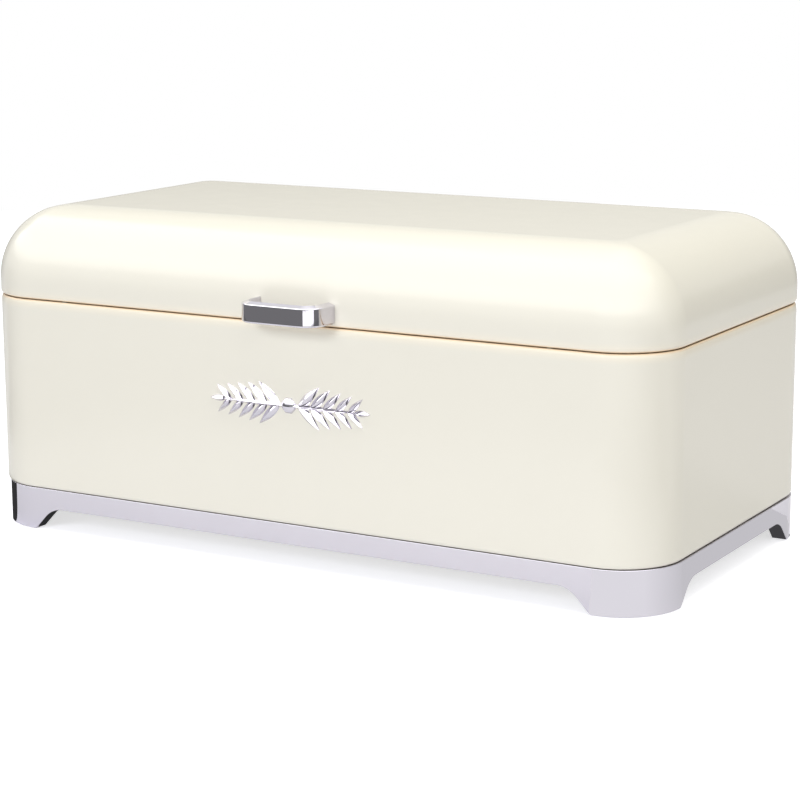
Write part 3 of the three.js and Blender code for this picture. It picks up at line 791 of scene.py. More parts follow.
def floor_tray(sizes):
    edge = HALF_WIDTH - PAN_HIGH.x
    curl, inner_curl = sizes.floor_curl, sizes.floor_curl - sizes.sheet
    curl_centre = (edge + curl, PAN_HIGH.z - curl)
    section = [
        *arc(curl_centre, (inner_curl, inner_curl), QUARTER, 0, count=4),
        (edge + sizes.sheet, PAN_LOW.z),
        (edge, PAN_LOW.z),
        *arc(curl_centre, (curl, curl), 0, QUARTER, count=8),
    ]
    rings = [ring(inset, height) for inset, height in section]
    dress(mesh_object("floor_tray", *skin(rings, loop=False)), "bottom_pan", "paint")


def lid_shell(sizes):
    sheet, fillet, curl = sizes.sheet, sizes.lid_fillet, sizes.lid_curl
    fillet_centre = (fillet, LID_HIGH.z - fillet)
    curl_centre = (curl, LID_LOW.z + curl)
    inner_curl_end = -0.8 * QUARTER
    flange_bottom = LID_LOW.z + sizes.rim_dip
    section = [
        *arc(fillet_centre, (fillet - sheet, fillet - sheet), QUARTER, 0, count=24),
        *arc(curl_centre, (curl - sheet, curl - sheet), 0, inner_curl_end, count=6),
        (sizes.lid_flange, flange_bottom + sheet),
        (sizes.lid_flange, flange_bottom),
        (curl + sizes.rim_dip, flange_bottom),
        *arc(curl_centre, (curl, curl), -QUARTER, 0, count=10),
        *arc(fillet_centre, (fillet, fillet), 0, QUARTER, count=32),
    ]
    rings = [ring(inset, height, sizes.lid_top_corner, sizes.lid_top_blend) for inset, height in section]
    dress(mesh_object("painted_lid", *skin(rings, loop=False)), "lid_shell", "paint")


# Plinth and feet


def arch_outline(sizes, side_length, foot_length, margin):
    """Outline of the arch under one side, grown by a margin, as distances across and heights."""
    slope = sizes.foot_slope
    bottom = PLINTH_LOW.z
    half_span = side_length / 2 - foot_length + margin / math.sin(slope)
    top = bottom + sizes.arch_height + margin
    radius = sizes.arch_fillet + margin
    shoulder = half_span - (top - bottom) / math.tan(slope) - radius * math.tan(slope / 2)
    below = PLINTH_HIGH.z - PLINTH_LOW.z
    flare = half_span + below / math.tan(slope)
    right_shoulder = [
        (shoulder + radius * math.cos(angle), top - radius + radius * math.sin(angle))
        for angle in angles(QUARTER - slope, QUARTER, sizes.arch_steps)
    ]
    left_shoulder = [(-across, up) for across, up in reversed(right_shoulder)]
    return [(flare, bottom - below), *right_shoulder, *left_shoulder, (-flare, bottom - below)]


def arch_prisms(sizes, margin):
    """The free space under the arches, front to back and side to side."""
    reach_x, reach_y = 2 * HALF_WIDTH, 2 * HALF_DEPTH
    front_arch = arch_outline(sizes, reach_x, sizes.front_foot, margin)
    side_arch = arch_outline(sizes, reach_y, sizes.side_foot, margin)
    side_arch = [(MIDDLE_Y + across, up) for across, up in side_arch]
    return [
        prism(front_arch, (X_AXIS, Z_AXIS, -Y_AXIS), -reach_y, reach_y),
        prism(side_arch, (Y_AXIS, Z_AXIS, X_AXIS), -reach_x, reach_x),
    ]


def plinth(sizes):
    low, high = PLINTH_LOW.z, PLINTH_HIGH.z
    outer = PLINTH_INSET
    channel = outer + sizes.channel
    flange = outer + sizes.flange
    flange_bottom = high - sizes.sheet
    section = [
        (channel, low),
        (outer, low),
        *arc((outer + sizes.lip, high - sizes.lip), (sizes.lip, sizes.lip), 0, QUARTER, count=8),
        (flange, high),
        (flange, flange_bottom),
        (channel, flange_bottom),
    ]
    made = mesh_object("chromed_plinth", *wall_loop(section))
    below = low - (high - low)
    hollow = [
        (channel + sizes.sheet, below),
        (outer + sizes.sheet, below),
        (outer + sizes.sheet, flange_bottom),
        (channel + sizes.sheet, flange_bottom),
    ]
    pocket = mesh_object("pocket", *wall_loop(hollow))
    combine(pocket, arch_prisms(sizes, sizes.sheet), "DIFFERENCE")
    combine(made, [shape_of(pocket), *arch_prisms(sizes, 0)], "DIFFERENCE")
    made.data.transform(shift(PLINTH_X, 0, 0))
    dress(made, "plinth", "chrome", edge=sizes.edge, segments=3)


def rubber_feet(sizes):
    outer = PLINTH_INSET + sizes.sheet + sizes.pad_gap
    inner = PLINTH_INSET + sizes.channel
    for end, sign_y in ENDS.items():
        for side, sign_x in SIDES.items():
            node = f"foot_pad_{end}_{side}"
            low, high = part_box(node)
            plug = [(inner, low.z), (outer, low.z), (outer, high.z), (inner, high.z)]
            made = mesh_object(f"rubber_foot_{end}_{side}", *wall_loop(plug))
            near = (0, MIDDLE_Y, low.z - sizes.sheet)
            far = (sign_x * 2 * HALF_WIDTH, MIDDLE_Y + sign_y * 2 * HALF_DEPTH, high.z + sizes.sheet)
            combine(made, [cuboid(near, far)], "INTERSECT")
            combine(made, arch_prisms(sizes, sizes.sheet + sizes.pad_gap), "DIFFERENCE")
            made.data.transform(shift(PLINTH_X, 0, 0))
            dress(made, node, "rubber", edge=sizes.pad_edge)


def plinth_screws(plinth_sheet):
    for end in ENDS:
        for side in SIDES:
            node = f"plinth_screw_{end}_{side}"
            middle, size = place_of(node)
            to_head = shift(middle.x, middle.y, middle.z - size.z / 2)
            radius = size.x / 2
            shank = radius / 2
            head = PLINTH_HIGH.z - plinth_sheet - SCREW_GAP - (middle.z - size.z / 2)
            dome, flat = head * SCREW_DOME, radius * DOME_FLAT
            profile = [
                (0, 0),
                *arc((flat, dome), (radius - flat, dome), 3 * QUARTER, 2 * QUARTER, EDGE_STEPS),
                (radius, head),
                (shank, head),
                (shank, size.z - shank / 2),
                (shank / 2, size.z),
                (0, size.z),
            ]
            made = mesh_object(f"pan_head_screw_{end}_{side}", *moved(lathe(profile), to_head))
            corner = (CROSS_LENGTH / 2, CROSS_WIDTH / 2, head * CROSS_DEPTH)
            slot = cuboid((-corner[0], -corner[1], -head), corner)
            cross = [moved(slot, to_head @ Matrix.Rotation(angle, 4, "Z")) for angle in (0, QUARTER)]
            combine(made, cross, "DIFFERENCE")
            dress(made, node, "zinc", edge=SCREW_EDGE)


def rim_bumpers():
    for side in SIDES:
        node = f"rim_bumper_{side}"
        middle, size = place_of(node)
        radius = size.x / 2
        flat, straight = radius * DOME_FLAT, size.z * BUMPER_SIDE
        dome = arc((flat, straight), (radius - flat, size.z - straight), 2 * QUARTER, QUARTER, EDGE_STEPS)
        shape = lathe([(0, 0), (radius, 0), *dome, (0, size.z)])
        shape = moved(shape, shift(middle.x, middle.y, middle.z - size.z / 2))
        dress(mesh_object(f"silicone_bumper_{side}", *shape), node, "silicone")


# Handle


def strap_section(sizes, height):
    """Section of the strap, out from its middle line and up; the upper side slopes to the front."""
    half = sizes.strap / 2
    section = []
    for quarter, across, up, edge, drop in (
        (0, 1, 1, sizes.edge, sizes.bevel),
        (1, -1, 1, sizes.edge, 0),
        (2, -1, -1, sizes.edge, 0),
        (3, 1, -1, sizes.lower_edge, 0),
    ):
        for angle in angles(QUARTER * quarter, QUARTER * (quarter + 1), EDGE_STEPS):
            out = across * (half - edge) + edge * math.cos(angle)
            section.append((out, up * (height / 2 - edge) - drop + edge * math.sin(angle)))
    return section


def handle(sizes):
    root = LID_LOW.y - sizes.gap
    half = sizes.strap / 2
    left, right = HANDLE_LOW.x + half, HANDLE_HIGH.x - half
    bend = sizes.corner - half
    bend_y = HANDLE_LOW.y + half + bend
    path = [((left, root), (-1, 0))]
    for bend_x, start in ((left + bend, 2 * QUARTER), (right - bend, 3 * QUARTER)):
        for angle in angles(start, start + QUARTER, sizes.bend_steps):
            out = (math.cos(angle), math.sin(angle))
            path.append(((bend_x + bend * out[0], bend_y + bend * out[1]), out))
    path.append(((right, root), (1, 0)))
    middle = (HANDLE_HIGH.z + HANDLE_LOW.z) / 2
    section = strap_section(sizes, HANDLE_HIGH.z - HANDLE_LOW.z)
    rings = [
        [Vector((x + out * normal[0], y + out * normal[1], middle + rise)) for out, rise in section]
        for (x, y), normal in path
    ]
    made = mesh_object("chromed_handle", *skin(rings, loop=False))
    outward(made)
    stud = rod(sizes.stud_radius, -half, HANDLE_HIGH.y - root)
    combine(made, [moved(stud, shift(x, root, middle) @ Z_TO_Y) for x in (left, right)], "UNION")
    dress(made, "handle", "chrome", edge=sizes.cut_edge)


def washer(outer, hole, thickness):
    half = thickness / 2
    section = [(hole, -half), (outer, -half), (outer, half), (hole, half)]
    return ring_round_z(lambda step: section)


def nut(outer, hole, thickness, sides=6, corner_slope=0.6):
    """A nut round Z, whose corners slope off."""
    half = thickness / 2
    flat = math.pi / sides
    to_flat = outer * math.cos(flat)

    def section_at(step):
        angle = math.tau * step / ROUND_STEPS
        reach = to_flat / math.cos(angle % (2 * flat) - flat)
        edge = half - (reach - to_flat) * corner_slope
        return [(hole, -half), (reach, -edge), (reach, edge), (hole, half)]

    return ring_round_z(section_at)


def push_nut(outer, pin, thickness, rim=0.72, tooth=1.08, slot=1.9, dish=0.2):
    """A flat rim with dished teeth that grip a pin.

    The rim's inside is a share of its outside, a tooth and a slot of the pin, and the dish of the height.
    """
    half = thickness / 2
    tooth_steps, slot_steps = 8, 4

    def section_at(step):
        inner = pin * (tooth if step % (tooth_steps + slot_steps) < tooth_steps else slot)
        inner_rim = outer * rim
        upper = [(outer, 0), (inner_rim, 0), (inner, half)]
        return [(inner, -half * dish), (inner_rim, -half), (outer, -half), *upper]

    return ring_round_z(section_at)


def fasteners(kinds, hole, edge):
    """Draws round fasteners on each side, with their axes front to back."""
    for side in SIDES:
        for name, node, make in kinds:
            middle, size = place_of(f"{node}_{side}")
            shape = moved(make(size.x / 2, hole, size.y), Matrix.Translation(middle) @ Z_TO_Y)
            dress(mesh_object(f"{name}_{side}", *shape), f"{node}_{side}", "zinc", edge=edge)


# Wheat ornament, drawn flat in X and Z with its relief towards the front


def grain(long, width, relief, rows=12, lean=0.8, fullness=0.85, ridge=0.7, flank=(0.6, 0.58)):
    """A pointed grain along X from the origin, with a sharp ridge and rounded flanks.

    It is widest nearer the origin, by the lean; the flank is a place on the section, as shares.
    """
    rings = []
    for step in range(1, rows):
        along = step / rows
        swell = math.sin(math.pi * along ** lean) ** fullness
        half, top = width / 2 * swell, relief * swell ** ridge
        out, up = half * flank[0], top * flank[1]
        section = [(half, 0), (out, up), (0, top), (-out, up), (-half, 0), (0, -relief / 2)]
        rings.append([Vector((along * long, -rise, across)) for across, rise in section])
    count = len(rings[0])
    points, faces = skin(rings, loop=False)
    faces = faces[:-2]
    start, end = len(points), len(points) + 1
    points += [Vector((0, 0, 0)), Vector((long, 0, 0))]
    last = (rows - 2) * count
    for side in range(count):
        following = (side + 1) % count
        faces.append((start, following, side))
        faces.append((end, last + side, last + following))
    return points, faces


def towards(side, shape):
    """Turns a shape that points to the right to the given side."""
    return moved(shape, Matrix.Rotation(QUARTER * (1 - SIDES[side]), 4, "Y"))


def wheat_ear(sizes, half_width, side):
    grains = []
    for pair in range(sizes.grain_pairs):
        taper = 1 - (1 - sizes.grain_taper) * pair / (sizes.grain_pairs - 1)
        shape = grain(sizes.grain_length * taper, sizes.grain_width * taper, sizes.relief)
        for way in SIDES.values():
            tilt = Matrix.Rotation(-way * sizes.grain_tilt, 4, "Y") @ shift(-sizes.root, 0, 0)
            grains.append(moved(shape, shift(sizes.first_grain + pair * sizes.pitch, 0, 0) @ tilt))
    tip = grain(sizes.tip_grain, sizes.grain_width * sizes.grain_taper, sizes.relief)
    grains.append(moved(tip, shift(half_width - sizes.tip_grain, 0, 0)))
    return [towards(side, shape) for shape in grains]


def wheat_stem(sizes, half_width, side):
    reach = half_width - sizes.tip_grain / 2
    overlap = reach * sizes.stem_overlap
    shape = grain(reach + overlap, 2 * sizes.stem, sizes.stem_relief, rows=16)
    return towards(side, moved(shape, shift(-overlap, 0, 0)))


def wheat_knot(sizes, sides=8, fall=1.2):
    """A knot with flat sides, which rises steeply and then levels off."""
    profile = [(0, -sizes.knot_relief / 2)]
    for angle in angles(0, QUARTER, EDGE_STEPS)[:-1]:
        profile.append((sizes.knot * math.cos(angle), sizes.knot_relief * math.sin(angle) ** fall))
    profile.append((0, sizes.knot_relief))
    to_front = Matrix.Rotation(QUARTER, 4, "X") @ Matrix.Rotation(math.pi / sides, 4, "Z")
    return moved(lathe(profile, sides), to_front)


def wheat(sizes):
    middle, size = place_of("wheat_ornament")
    back = WHEAT_LOW.y + sizes.knot_relief
    made = mesh_object("chromed_wheat", *wheat_stem(sizes, size.x / 2, "left"))
    ears = [shape for side in ("right", "left") for shape in wheat_ear(sizes, size.x / 2, side)]
    shapes = [*ears, wheat_stem(sizes, size.x / 2, "right"), wheat_knot(sizes)]
    combine(made, [joined(shapes)], "UNION", self_crossing=True)
    work = bmesh.new()
    work.from_mesh(made.data)
    cut = bmesh.ops.bisect_plane(
        work,
        geom=[*work.verts, *work.edges, *work.faces],
        plane_co=(0, 0, 0),
        plane_no=(0, 1, 0),
        clear_outer=True,
    )
    edges = [item for item in cut["geom_cut"] if isinstance(item, bmesh.types.BMEdge)]
    bmesh.ops.holes_fill(work, edges=edges)
    work.to_mesh(made.data)
    work.free()
    made.data.transform(shift(0, back, middle.z))
    pin = rod(sizes.pin_radius, -sizes.stem_relief / 2, WHEAT_HIGH.y - back)
    places = [shift(sign * sizes.pin_spacing / 2, back, middle.z) for sign in SIDES.values()]
    combine(made, [moved(pin, to_pin @ Z_TO_Y) for to_pin in places], "UNION")
    dress(made, "wheat_ornament", "chrome")


# Hinges: Y and Z are measured from the hinge axis


def bevelled(radius, height):
    """The rim of a head that starts at zero, with its corner taken off."""
    return [(HEAD_FACE * radius, 0), (radius, HEAD_SLOPE * height)]


def leaf(sizes, name, plate, neck, spans, rivet_height):
    """A leaf with a knuckle along each span, a bore through them and two holes for rivets."""
    half = sizes.width / 2
    basis = (Y_AXIS, Z_AXIS, X_AXIS)
    made = mesh_object(name, *prism(plate, basis, -half, half))
    parts = []
    for start, end in spans:
        parts.append(prism(neck, basis, start, end))
        parts.append(moved(rod(sizes.knuckle, start, end, segments=32), Z_TO_X))
    combine(made, parts, "UNION")
    reach = 2 * sizes.width
    holes = [moved(rod(sizes.bore, -reach, reach, segments=32), Z_TO_X)]
    spacing = place_of("body_rivet_left_inner")[0].x - place_of("body_rivet_left_outer")[0].x
    rivet_hole = moved(rod(sizes.rivet + RIVET_GAP, -reach, reach), Matrix.Rotation(QUARTER, 4, "X"))
    holes += [moved(rivet_hole, shift(sign * spacing / 2, 0, rivet_height)) for sign in SIDES.values()]
    combine(made, holes, "DIFFERENCE")
    return made


def hinge_leaves(sizes):
    inner, outer = -sizes.knuckle, sizes.leaf - sizes.knuckle
    edge = sizes.knuckle + sizes.clearance
    half, middle = sizes.width / 2, sizes.middle / 2
    wall, wall_outer = inner - sizes.step_depth, outer - sizes.step_depth
    step_end = -sizes.step_start - sizes.step_height
    bin_plate = [
        (inner, -edge), (inner, -sizes.step_start), (wall, step_end), (wall, -sizes.bin_leaf),
        (wall_outer, -sizes.bin_leaf), (wall_outer, step_end), (outer, -sizes.step_start), (outer, -edge),
    ]
    neck_end = edge + sizes.clearance
    bin_neck = [(inner, 0), (inner, -neck_end), (outer, -neck_end), (outer, 0)]
    bin_spans = [(-half, -middle - sizes.knuckle_gap), (middle + sizes.knuckle_gap, half)]
    lid_plate = [(inner, edge), (outer, edge), (outer, sizes.lid_leaf), (inner, sizes.lid_leaf)]
    lid_neck = [(inner, 0), (outer, 0), (outer, neck_end), (inner, neck_end)]
    lug_side, lug_half = sizes.lug_width / 2, sizes.lug_thickness / 2
    lug = cuboid((-lug_side, -lug_half, sizes.bore), (lug_side, lug_half, sizes.lug_length))
    lug = moved(lug, Matrix.Rotation(-sizes.lug_turn, 4, "X"))
    for side in SIDES:
        axis = place_of(f"hinge_pin_{side}")[0]
        low = place_of(f"body_rivet_{side}_outer")[0].z - axis.z
        high = place_of(f"lid_rivet_{side}_outer")[0].z - axis.z
        lower = leaf(sizes, f"lower_leaf_{side}", bin_plate, bin_neck, bin_spans, low)
        upper = leaf(sizes, f"upper_leaf_{side}", lid_plate, lid_neck, [(-middle, middle)], high)
        combine(upper, [lug], "UNION")
        for made, node in ((lower, f"hinge_body_leaf_{side}"), (upper, f"hinge_lid_leaf_{side}")):
            made.data.transform(Matrix.Translation(axis))
            dress(made, node, "zinc", edge=sizes.edge)


def hinge_pins(sizes):
    for side in SIDES:
        node = f"hinge_pin_{side}"
        middle, size = place_of(node)
        end = size.x / 2
        shank_end = sizes.width / 2 + sizes.knuckle_gap
        rim = [(radius, along - end) for radius, along in bevelled(sizes.pin_head, end - shank_end)]
        profile = [(0, -end), *rim, (sizes.pin_head, -shank_end), (sizes.pin, -shank_end)]
        profile += [(radius, -along) for radius, along in reversed(profile)]
        shape = moved(lathe(profile), Matrix.Translation(middle) @ Z_TO_X)
        dress(mesh_object(f"steel_pin_{side}", *shape), node, "zinc", edge=sizes.pin_edge)


def rivets(sizes):
    for node in sorted(name for name in frame["nodes"] if "_rivet_" in name):
        middle, size = place_of(node)
        radius = size.z / 2
        tail_radius = radius * TAIL_WIDTH
        head_start = size.y - RIVET_HEAD
        profile = [
            (0, 0),
            *bevelled(tail_radius, RIVET_TAIL),
            (tail_radius, RIVET_TAIL),
            (sizes.rivet, RIVET_TAIL),
            (sizes.rivet, head_start),
            *arc((0, head_start), (radius, RIVET_HEAD), 2 * QUARTER, QUARTER, EDGE_STEPS),
        ]
        shape = moved(lathe(profile), shift(middle.x, middle.y - size.y / 2, middle.z) @ Z_TO_Y)
        name = node.replace("body_rivet", "lower_rivet").replace("lid_rivet", "upper_rivet")
        dress(mesh_object(name, *shape), node, "zinc", edge=RIVET_EDGE)


# Stage

# Millimetres, as the lens is given
SENSOR_WIDTH = 36
# Softboxes: middle, width and height in metres
SOFTBOXES = {
    "overhead": ((0, 0, 1.6), 1.6, 1.6),
    "upper_right": ((0.9, 0.1, 1.3), 1.6, 1.4),
    "front": ((-0.2, -2.1, 1.02), 0.8, 0.5),
    "low_front": ((0, -2.2, 0.5), 1.6, 1),
    "front_right": ((1.3, -1.8, 0.9), 1.4, 1.4),
}
# Cards that only reflections see: strips between two arcs round a centre. An arc is its start and
# end in degrees from the front to the right, its reach and its height in millimetres. Brightness
# is given for the start and end of the first arc, then of the second one, and 1 is white.
BOX = (0, MIDDLE_Y / MM)
NEAR = (175, -68)
LEFT = (-173.5, -68)
ARC_CARDS = {
    "ceiling_middle": (BOX, (-110, 115, 1, 1500), (-110, 115, 1300, 1500), (3, 3, 3, 3)),
    "ceiling_back": (BOX, (115, 250, 1, 1500), (115, 250, 1300, 1500), (2.8, 2.8, 1, 1)),
    "ceiling_front": (BOX, (-110, 50, 1300, 1500), (-110, 50, 2400, 1500), (3, 3, 4, 4)),
    "ceiling_right": (BOX, (50, 115, 1300, 1500), (50, 115, 2400, 1500), (3, 1.2, 4, 1)),
    "ceiling_edge": (BOX, (-110, 50, 2400, 1500), (-110, 50, 4600, 1500), (4, 4, 2.4, 2.4)),
    "ceiling_edge_right": (BOX, (50, 115, 2400, 1500), (50, 115, 4600, 1500), (4, 1, 2.4, 1)),
    "back_low": (BOX, (95, 265, 1300, 0), (95, 265, 1300, 310), (0.36, 0.36, 0.36, 0.36)),
    "back_middle": (BOX, (95, 265, 1300, 310), (95, 265, 1300, 372), (0.36, 0.36, 0.74, 0.74)),
    "back_high": (BOX, (95, 265, 1300, 372), (95, 265, 1300, 1000), (0.74, 0.74, 0.74, 0.74)),
    "front_flag": (BOX, (-86, 89, 850, 0), (-86, 89, 850, 185), (0.22, 0.22, 0.22, 0.22)),
    "front_window": (BOX, (6.5, 58, 760, 20), (6.5, 58, 760, 41.5), (1.8, 1.8, 1.8, 1.8)),
    "floor_flag": (BOX, (-86, 89, 430, 2), (-86, 89, 850, 2), (0.16, 0.16, 0.16, 0.16)),
    "near_floor": (NEAR, (0, 45, 33, 0.6), (-17.6, 60.2, 125, 0.6), (1.05, 1.05, 1.05, 1.05)),
    # Painted shade: the floor seen in reflections darkens round the near corner towards the right
    "turning_floor": (NEAR, (45, 90, 33, 0.6), (60.2, 138, 125, 0.6), (1.05, 0.78, 1.05, 0.78)),
    "left_flag": (LEFT, (-28.5, -75, 33, 0.6), (-77.5, -155, 125, 0.6), (0.045, 0.045, 0.045, 0.045)),
}
# Level cards over the floor: corners in millimetres, and brightness
FLAT_CARD_HEIGHT = 0.5 * MM
FLAT_CARDS = {
    # Painted shade: the floor to the right, darker in reflections
    "side_floor": ([(211, -67), (211, 114), (445, 320), (445, -67)], 0.75),
    # Painted shadow: dark cards under the box and along its front and right edges stand in for the shaded
    # floor there, as reflections see it
    "under_flag": ([(-198, -91), (199, -91), (199, 102), (-198, 102)], 0.035),
    "front_strip": ([(-185, -100), (172, -102), (172, -91), (-185, -91)], 0.035),
    "side_strip": ([(199, -60), (209.5, -60), (209.5, 92), (199, 92)], 0.075),
}


def light_path_sum(tree, *shares):
    """Adds shares of the rays that see a surface: from the camera, from metal and through glass."""
    rays = new_node(tree, "ShaderNodeLightPath", {}).outputs
    total = 0
    for label, weight in zip(("Is Camera Ray", "Is Glossy Ray", "Is Transmission Ray"), shares):
        total = arithmetic(tree, "MULTIPLY_ADD", rays[label], weight, total)
    return total


def floor_material(settings):
    finish = Finish("Pale floor", Roughness=1, Specular_IOR_Level=0, Emission_Color=(1, 1, 1, 1))
    seen = settings.floor_lift
    mirrored = seen * settings.floor_mirrored
    strength = light_path_sum(finish.tree, seen, mirrored, mirrored)
    finish.fill({"Base Color": (*settings.floor, 1), "Emission Strength": strength})
    return finish.material


def card_material():
    """One material for all cards, which reads each card's brightness from its points."""
    finish = Finish("Reflected card", Base_Color=(0, 0, 0, 1), Specular_IOR_Level=0, Emission_Strength=1)
    brightness = new_node(finish.tree, "ShaderNodeAttribute", {}, attribute_name="brightness")
    finish.fill({"Emission Color": brightness.outputs["Color"]})
    finish.material.cycles.emission_sampling = "NONE"
    return finish.material


def card(name, points, faces, brightness, material):
    """A surface that neither the camera nor the light meets, only reflections."""
    made = mesh_object(name, points, faces)
    levels = made.data.attributes.new("brightness", "FLOAT", "POINT")
    levels.data.foreach_set("value", brightness)
    made.data.materials.append(material)
    for rays in ("camera", "diffuse", "transmission", "volume_scatter", "shadow"):
        setattr(made, f"visible_{rays}", False)


def on_arc(centre, line, over):
    start, end, reach, height = line
    angle = math.radians(start + (end - start) * over)
    return Vector((centre[0] + reach * math.sin(angle), centre[1] - reach * math.cos(angle), height)) * MM


def arc_card(name, centre, lower, upper, brightness, material, across=48, along=8):
    """Lays the strip out in a grid, so that its brightness runs evenly from corner to corner."""
    low_start, low_end, high_start, high_end = brightness
    points, levels = [], []
    for row in range(along + 1):
        for column in range(across + 1):
            over, up = column / across, row / along
            points.append(on_arc(centre, lower, over).lerp(on_arc(centre, upper, over), up))
            low_level = low_start + (low_end - low_start) * over
            high_level = high_start + (high_end - high_start) * over
            levels.append(low_level + (high_level - low_level) * up)
    wide = across + 1
    corners = [row * wide + column for row in range(along) for column in range(across)]
    faces = [(corner, corner + 1, corner + 1 + wide, corner + wide) for corner in corners]
    card(name, points, faces, levels, material)


def cards():
    material = card_material()
    for name, (centre, lower, upper, brightness) in ARC_CARDS.items():
        arc_card(name, centre, lower, upper, brightness, material)
    for name, (corners, brightness) in FLAT_CARDS.items():
        points = [(x * MM, y * MM, FLAT_CARD_HEIGHT) for x, y in corners]
        card(name, points, [(0, 1, 2, 3)], [brightness] * 4, material)


def softbox(name, where, width, height, watts, tint):
    lamp = bpy.data.lights.new(name, "AREA")
    lamp.shape = "RECTANGLE"
    lamp.size, lamp.size_y = width, height
    lamp.energy = watts
    lamp.color = tint
    holder = bpy.data.objects.new(name, lamp)
    bpy.context.scene.collection.objects.link(holder)
    holder.location = where
    aim = Vector((0, MIDDLE_Y, LID_HIGH.z / 2)) - Vector(where)
    holder.rotation_euler = aim.to_track_quat("-Z", "Y").to_euler()
    holder.visible_camera = False
    holder.visible_glossy = False


def pale_floor(settings, count=96):
    turns = [math.tau * step / count for step in range(count)]
    rim = [Vector((math.cos(angle), math.sin(angle), 0)) * settings.floor_radius for angle in turns]
    made = mesh_object("floor", rim, [tuple(range(count))])
    made.data.materials.append(floor_material(settings))


def pale_world(settings):
    world = bpy.data.worlds.new("Pale studio")
    bpy.context.scene.world = world
    world.use_nodes = True
    tree = world.node_tree
    limits = {"Value": light_path_sum(tree, 1, 1, 1), "To Min": settings.ambient, "To Max": 1}
    strength = new_node(tree, "ShaderNodeMapRange", limits).outputs["Result"]
    fill(tree, tree.nodes["Background"], {"Color": (1, 1, 1, 1), "Strength": strength})


def photo_camera(settings):
    yaw, pitch, roll = settings.camera_yaw, settings.camera_pitch, settings.camera_roll
    forward = Vector((-math.sin(yaw) * math.cos(pitch), math.cos(yaw) * math.cos(pitch), -math.sin(pitch)))
    level = Vector((math.cos(yaw), math.sin(yaw), 0))
    upright = level.cross(forward)
    right = level * math.cos(roll) + upright * math.sin(roll)
    up = upright * math.cos(roll) - level * math.sin(roll)
    data = bpy.data.cameras.new("Photo camera")
    data.lens = settings.camera_lens
    data.sensor_width = SENSOR_WIDTH
    holder = bpy.data.objects.new("Photo camera", data)
    bpy.context.scene.collection.objects.link(holder)
    turned = Matrix((right, up, -forward)).transposed().to_4x4()
    holder.matrix_world = Matrix.Translation(settings.camera_place) @ turned
    bpy.context.scene.camera = holder


# Operators, in the order in which they run


class BREADBOX_OT_stage(bpy.types.Operator):
    """Sets the floor, the lights and the camera"""

    bl_idname = "breadbox.stage"
    bl_label = "Stage"
    bl_options = {"REGISTER", "UNDO"}

    def execute(self, context):
        settings, lamps = context.scene.bread_stage, context.scene.bread_lights
        context.scene.view_settings.view_transform = "Standard"
        pale_floor(settings)
        pale_world(settings)
        cards()
        for name, (where, width, height) in SOFTBOXES.items():
            watts, tint = getattr(lamps, f"{name}_power"), getattr(lamps, f"{name}_tint")
            softbox(f"{name}_softbox", where, width, height, watts, tint)
        photo_camera(settings)
        return {"FINISHED"}


class BREADBOX_OT_bin_wall(bpy.types.Operator):
    """Draws the painted wall of the bin"""

    bl_idname = "breadbox.bin_wall"
    bl_label = "Bin wall"
    bl_options = {"REGISTER", "UNDO"}

    def execute(self, context):
        bin_wall(context.scene.bread_shell)
        return {"FINISHED"}


class BREADBOX_OT_rim_collar(bpy.types.Operator):
    """Draws the collar inside the rim"""

    bl_idname = "breadbox.rim_collar"
    bl_label = "Rim collar"
    bl_options = {"REGISTER", "UNDO"}

    def execute(self, context):
        rim_collar(context.scene.bread_shell)
        return {"FINISHED"}


class BREADBOX_OT_floor_tray(bpy.types.Operator):
    """Draws the floor of the bin"""

    bl_idname = "breadbox.floor_tray"
    bl_label = "Floor tray"
    bl_options = {"REGISTER", "UNDO"}

    def execute(self, context):
        floor_tray(context.scene.bread_shell)
        return {"FINISHED"}


class BREADBOX_OT_lid(bpy.types.Operator):
    """Draws the painted lid"""

    bl_idname = "breadbox.lid"
    bl_label = "Lid"
    bl_options = {"REGISTER", "UNDO"}

    def execute(self, context):
        lid_shell(context.scene.bread_shell)
        return {"FINISHED"}


class BREADBOX_OT_plinth(bpy.types.Operator):
    """Draws the chromed plinth"""

    bl_idname = "breadbox.plinth"
    bl_label = "Plinth"
    bl_options = {"REGISTER", "UNDO"}

    def execute(self, context):
        plinth(context.scene.bread_plinth)
        return {"FINISHED"}


class BREADBOX_OT_feet(bpy.types.Operator):
    """Draws the rubber feet"""

    bl_idname = "breadbox.feet"
    bl_label = "Feet"
    bl_options = {"REGISTER", "UNDO"}

    def execute(self, context):
        rubber_feet(context.scene.bread_plinth)
        return {"FINISHED"}


class BREADBOX_OT_screws(bpy.types.Operator):
    """Draws the screws of the plinth"""

    bl_idname = "breadbox.screws"
    bl_label = "Screws"
    bl_options = {"REGISTER", "UNDO"}

    def execute(self, context):
        plinth_screws(context.scene.bread_plinth.sheet)
        return {"FINISHED"}


class BREADBOX_OT_bumpers(bpy.types.Operator):
    """Draws the silicone bumpers"""

    bl_idname = "breadbox.bumpers"
    bl_label = "Bumpers"
    bl_options = {"REGISTER", "UNDO"}

    def execute(self, context):
        rim_bumpers()
        return {"FINISHED"}


class BREADBOX_OT_handle(bpy.types.Operator):
    """Draws the chromed handle with its washers and nuts"""

    bl_idname = "breadbox.handle"
    bl_label = "Handle"
    bl_options = {"REGISTER", "UNDO"}

    def execute(self, context):
        sizes = context.scene.bread_handle
        handle(sizes)
        kinds = [("stud_washer", "handle_washer", washer), ("stud_nut", "handle_nut", nut)]
        fasteners(kinds, sizes.stud_radius + STUD_GAP, NUT_EDGE)
        return {"FINISHED"}


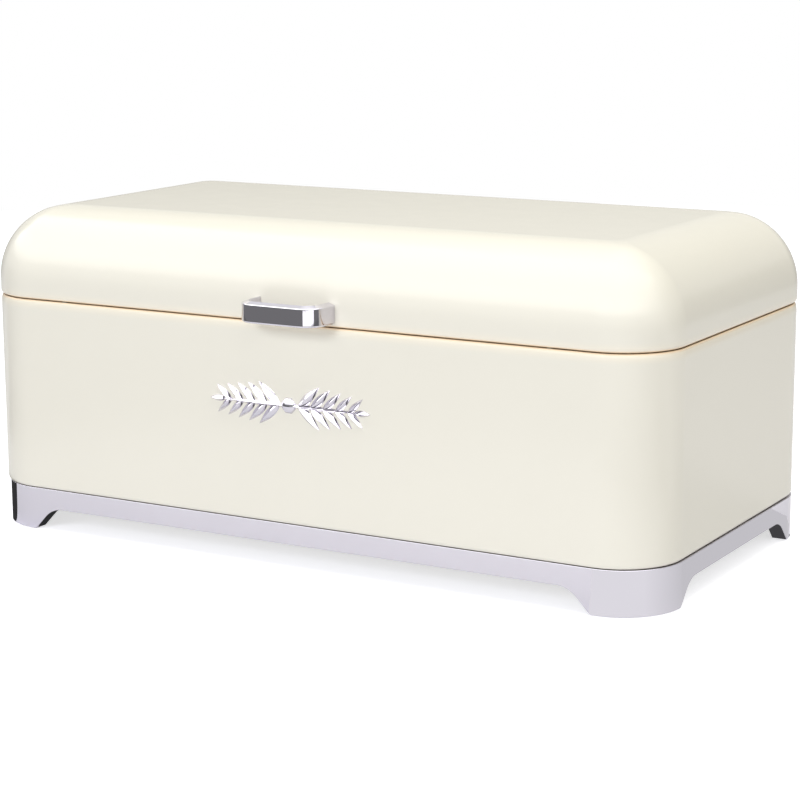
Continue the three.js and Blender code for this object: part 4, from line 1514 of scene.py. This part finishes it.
class BREADBOX_OT_wheat(bpy.types.Operator):
    """Draws the chromed wheat ornament and its push nuts"""

    bl_idname = "breadbox.wheat"
    bl_label = "Wheat"
    bl_options = {"REGISTER", "UNDO"}

    def execute(self, context):
        sizes = context.scene.bread_wheat
        wheat(sizes)
        fasteners([("push_nut", "ornament_push_nut", push_nut)], sizes.pin_radius, RIVET_EDGE)
        return {"FINISHED"}


class BREADBOX_OT_hinges(bpy.types.Operator):
    """Draws the leaves and pins of the hinges"""

    bl_idname = "breadbox.hinges"
    bl_label = "Hinges"
    bl_options = {"REGISTER", "UNDO"}

    def execute(self, context):
        hinge_leaves(context.scene.bread_hinge)
        hinge_pins(context.scene.bread_hinge)
        return {"FINISHED"}


class BREADBOX_OT_rivets(bpy.types.Operator):
    """Draws the rivets of the hinges"""

    bl_idname = "breadbox.rivets"
    bl_label = "Rivets"
    bl_options = {"REGISTER", "UNDO"}

    def execute(self, context):
        rivets(context.scene.bread_hinge)
        return {"FINISHED"}


OPERATORS = [
    BREADBOX_OT_stage,
    BREADBOX_OT_bin_wall,
    BREADBOX_OT_rim_collar,
    BREADBOX_OT_floor_tray,
    BREADBOX_OT_lid,
    BREADBOX_OT_plinth,
    BREADBOX_OT_feet,
    BREADBOX_OT_screws,
    BREADBOX_OT_bumpers,
    BREADBOX_OT_handle,
    BREADBOX_OT_wheat,
    BREADBOX_OT_hinges,
    BREADBOX_OT_rivets,
]


class VIEW3D_PT_bread_box(bpy.types.Panel):
    bl_label = "Bread Box"
    bl_idname = "VIEW3D_PT_bread_box"
    bl_space_type = "VIEW_3D"
    bl_region_type = "UI"
    bl_category = "Bread Box"

    def draw(self, context):
        for operator in OPERATORS:
            self.layout.operator(operator.bl_idname)


CLASSES = [*SETTINGS.values(), *OPERATORS, VIEW3D_PT_bread_box]


def register():
    for kind in CLASSES:
        bpy.utils.register_class(kind)
    for name, kind in SETTINGS.items():
        setattr(bpy.types.Scene, name, PointerProperty(type=kind))


def unregister():
    for name in SETTINGS:
        delattr(bpy.types.Scene, name)
    for kind in reversed(CLASSES):
        bpy.utils.unregister_class(kind)


def main():
    register()
    for operator in OPERATORS:
        getattr(bpy.ops.breadbox, operator.bl_idname.split(".")[1])()


if __name__ == "__main__":
    main()
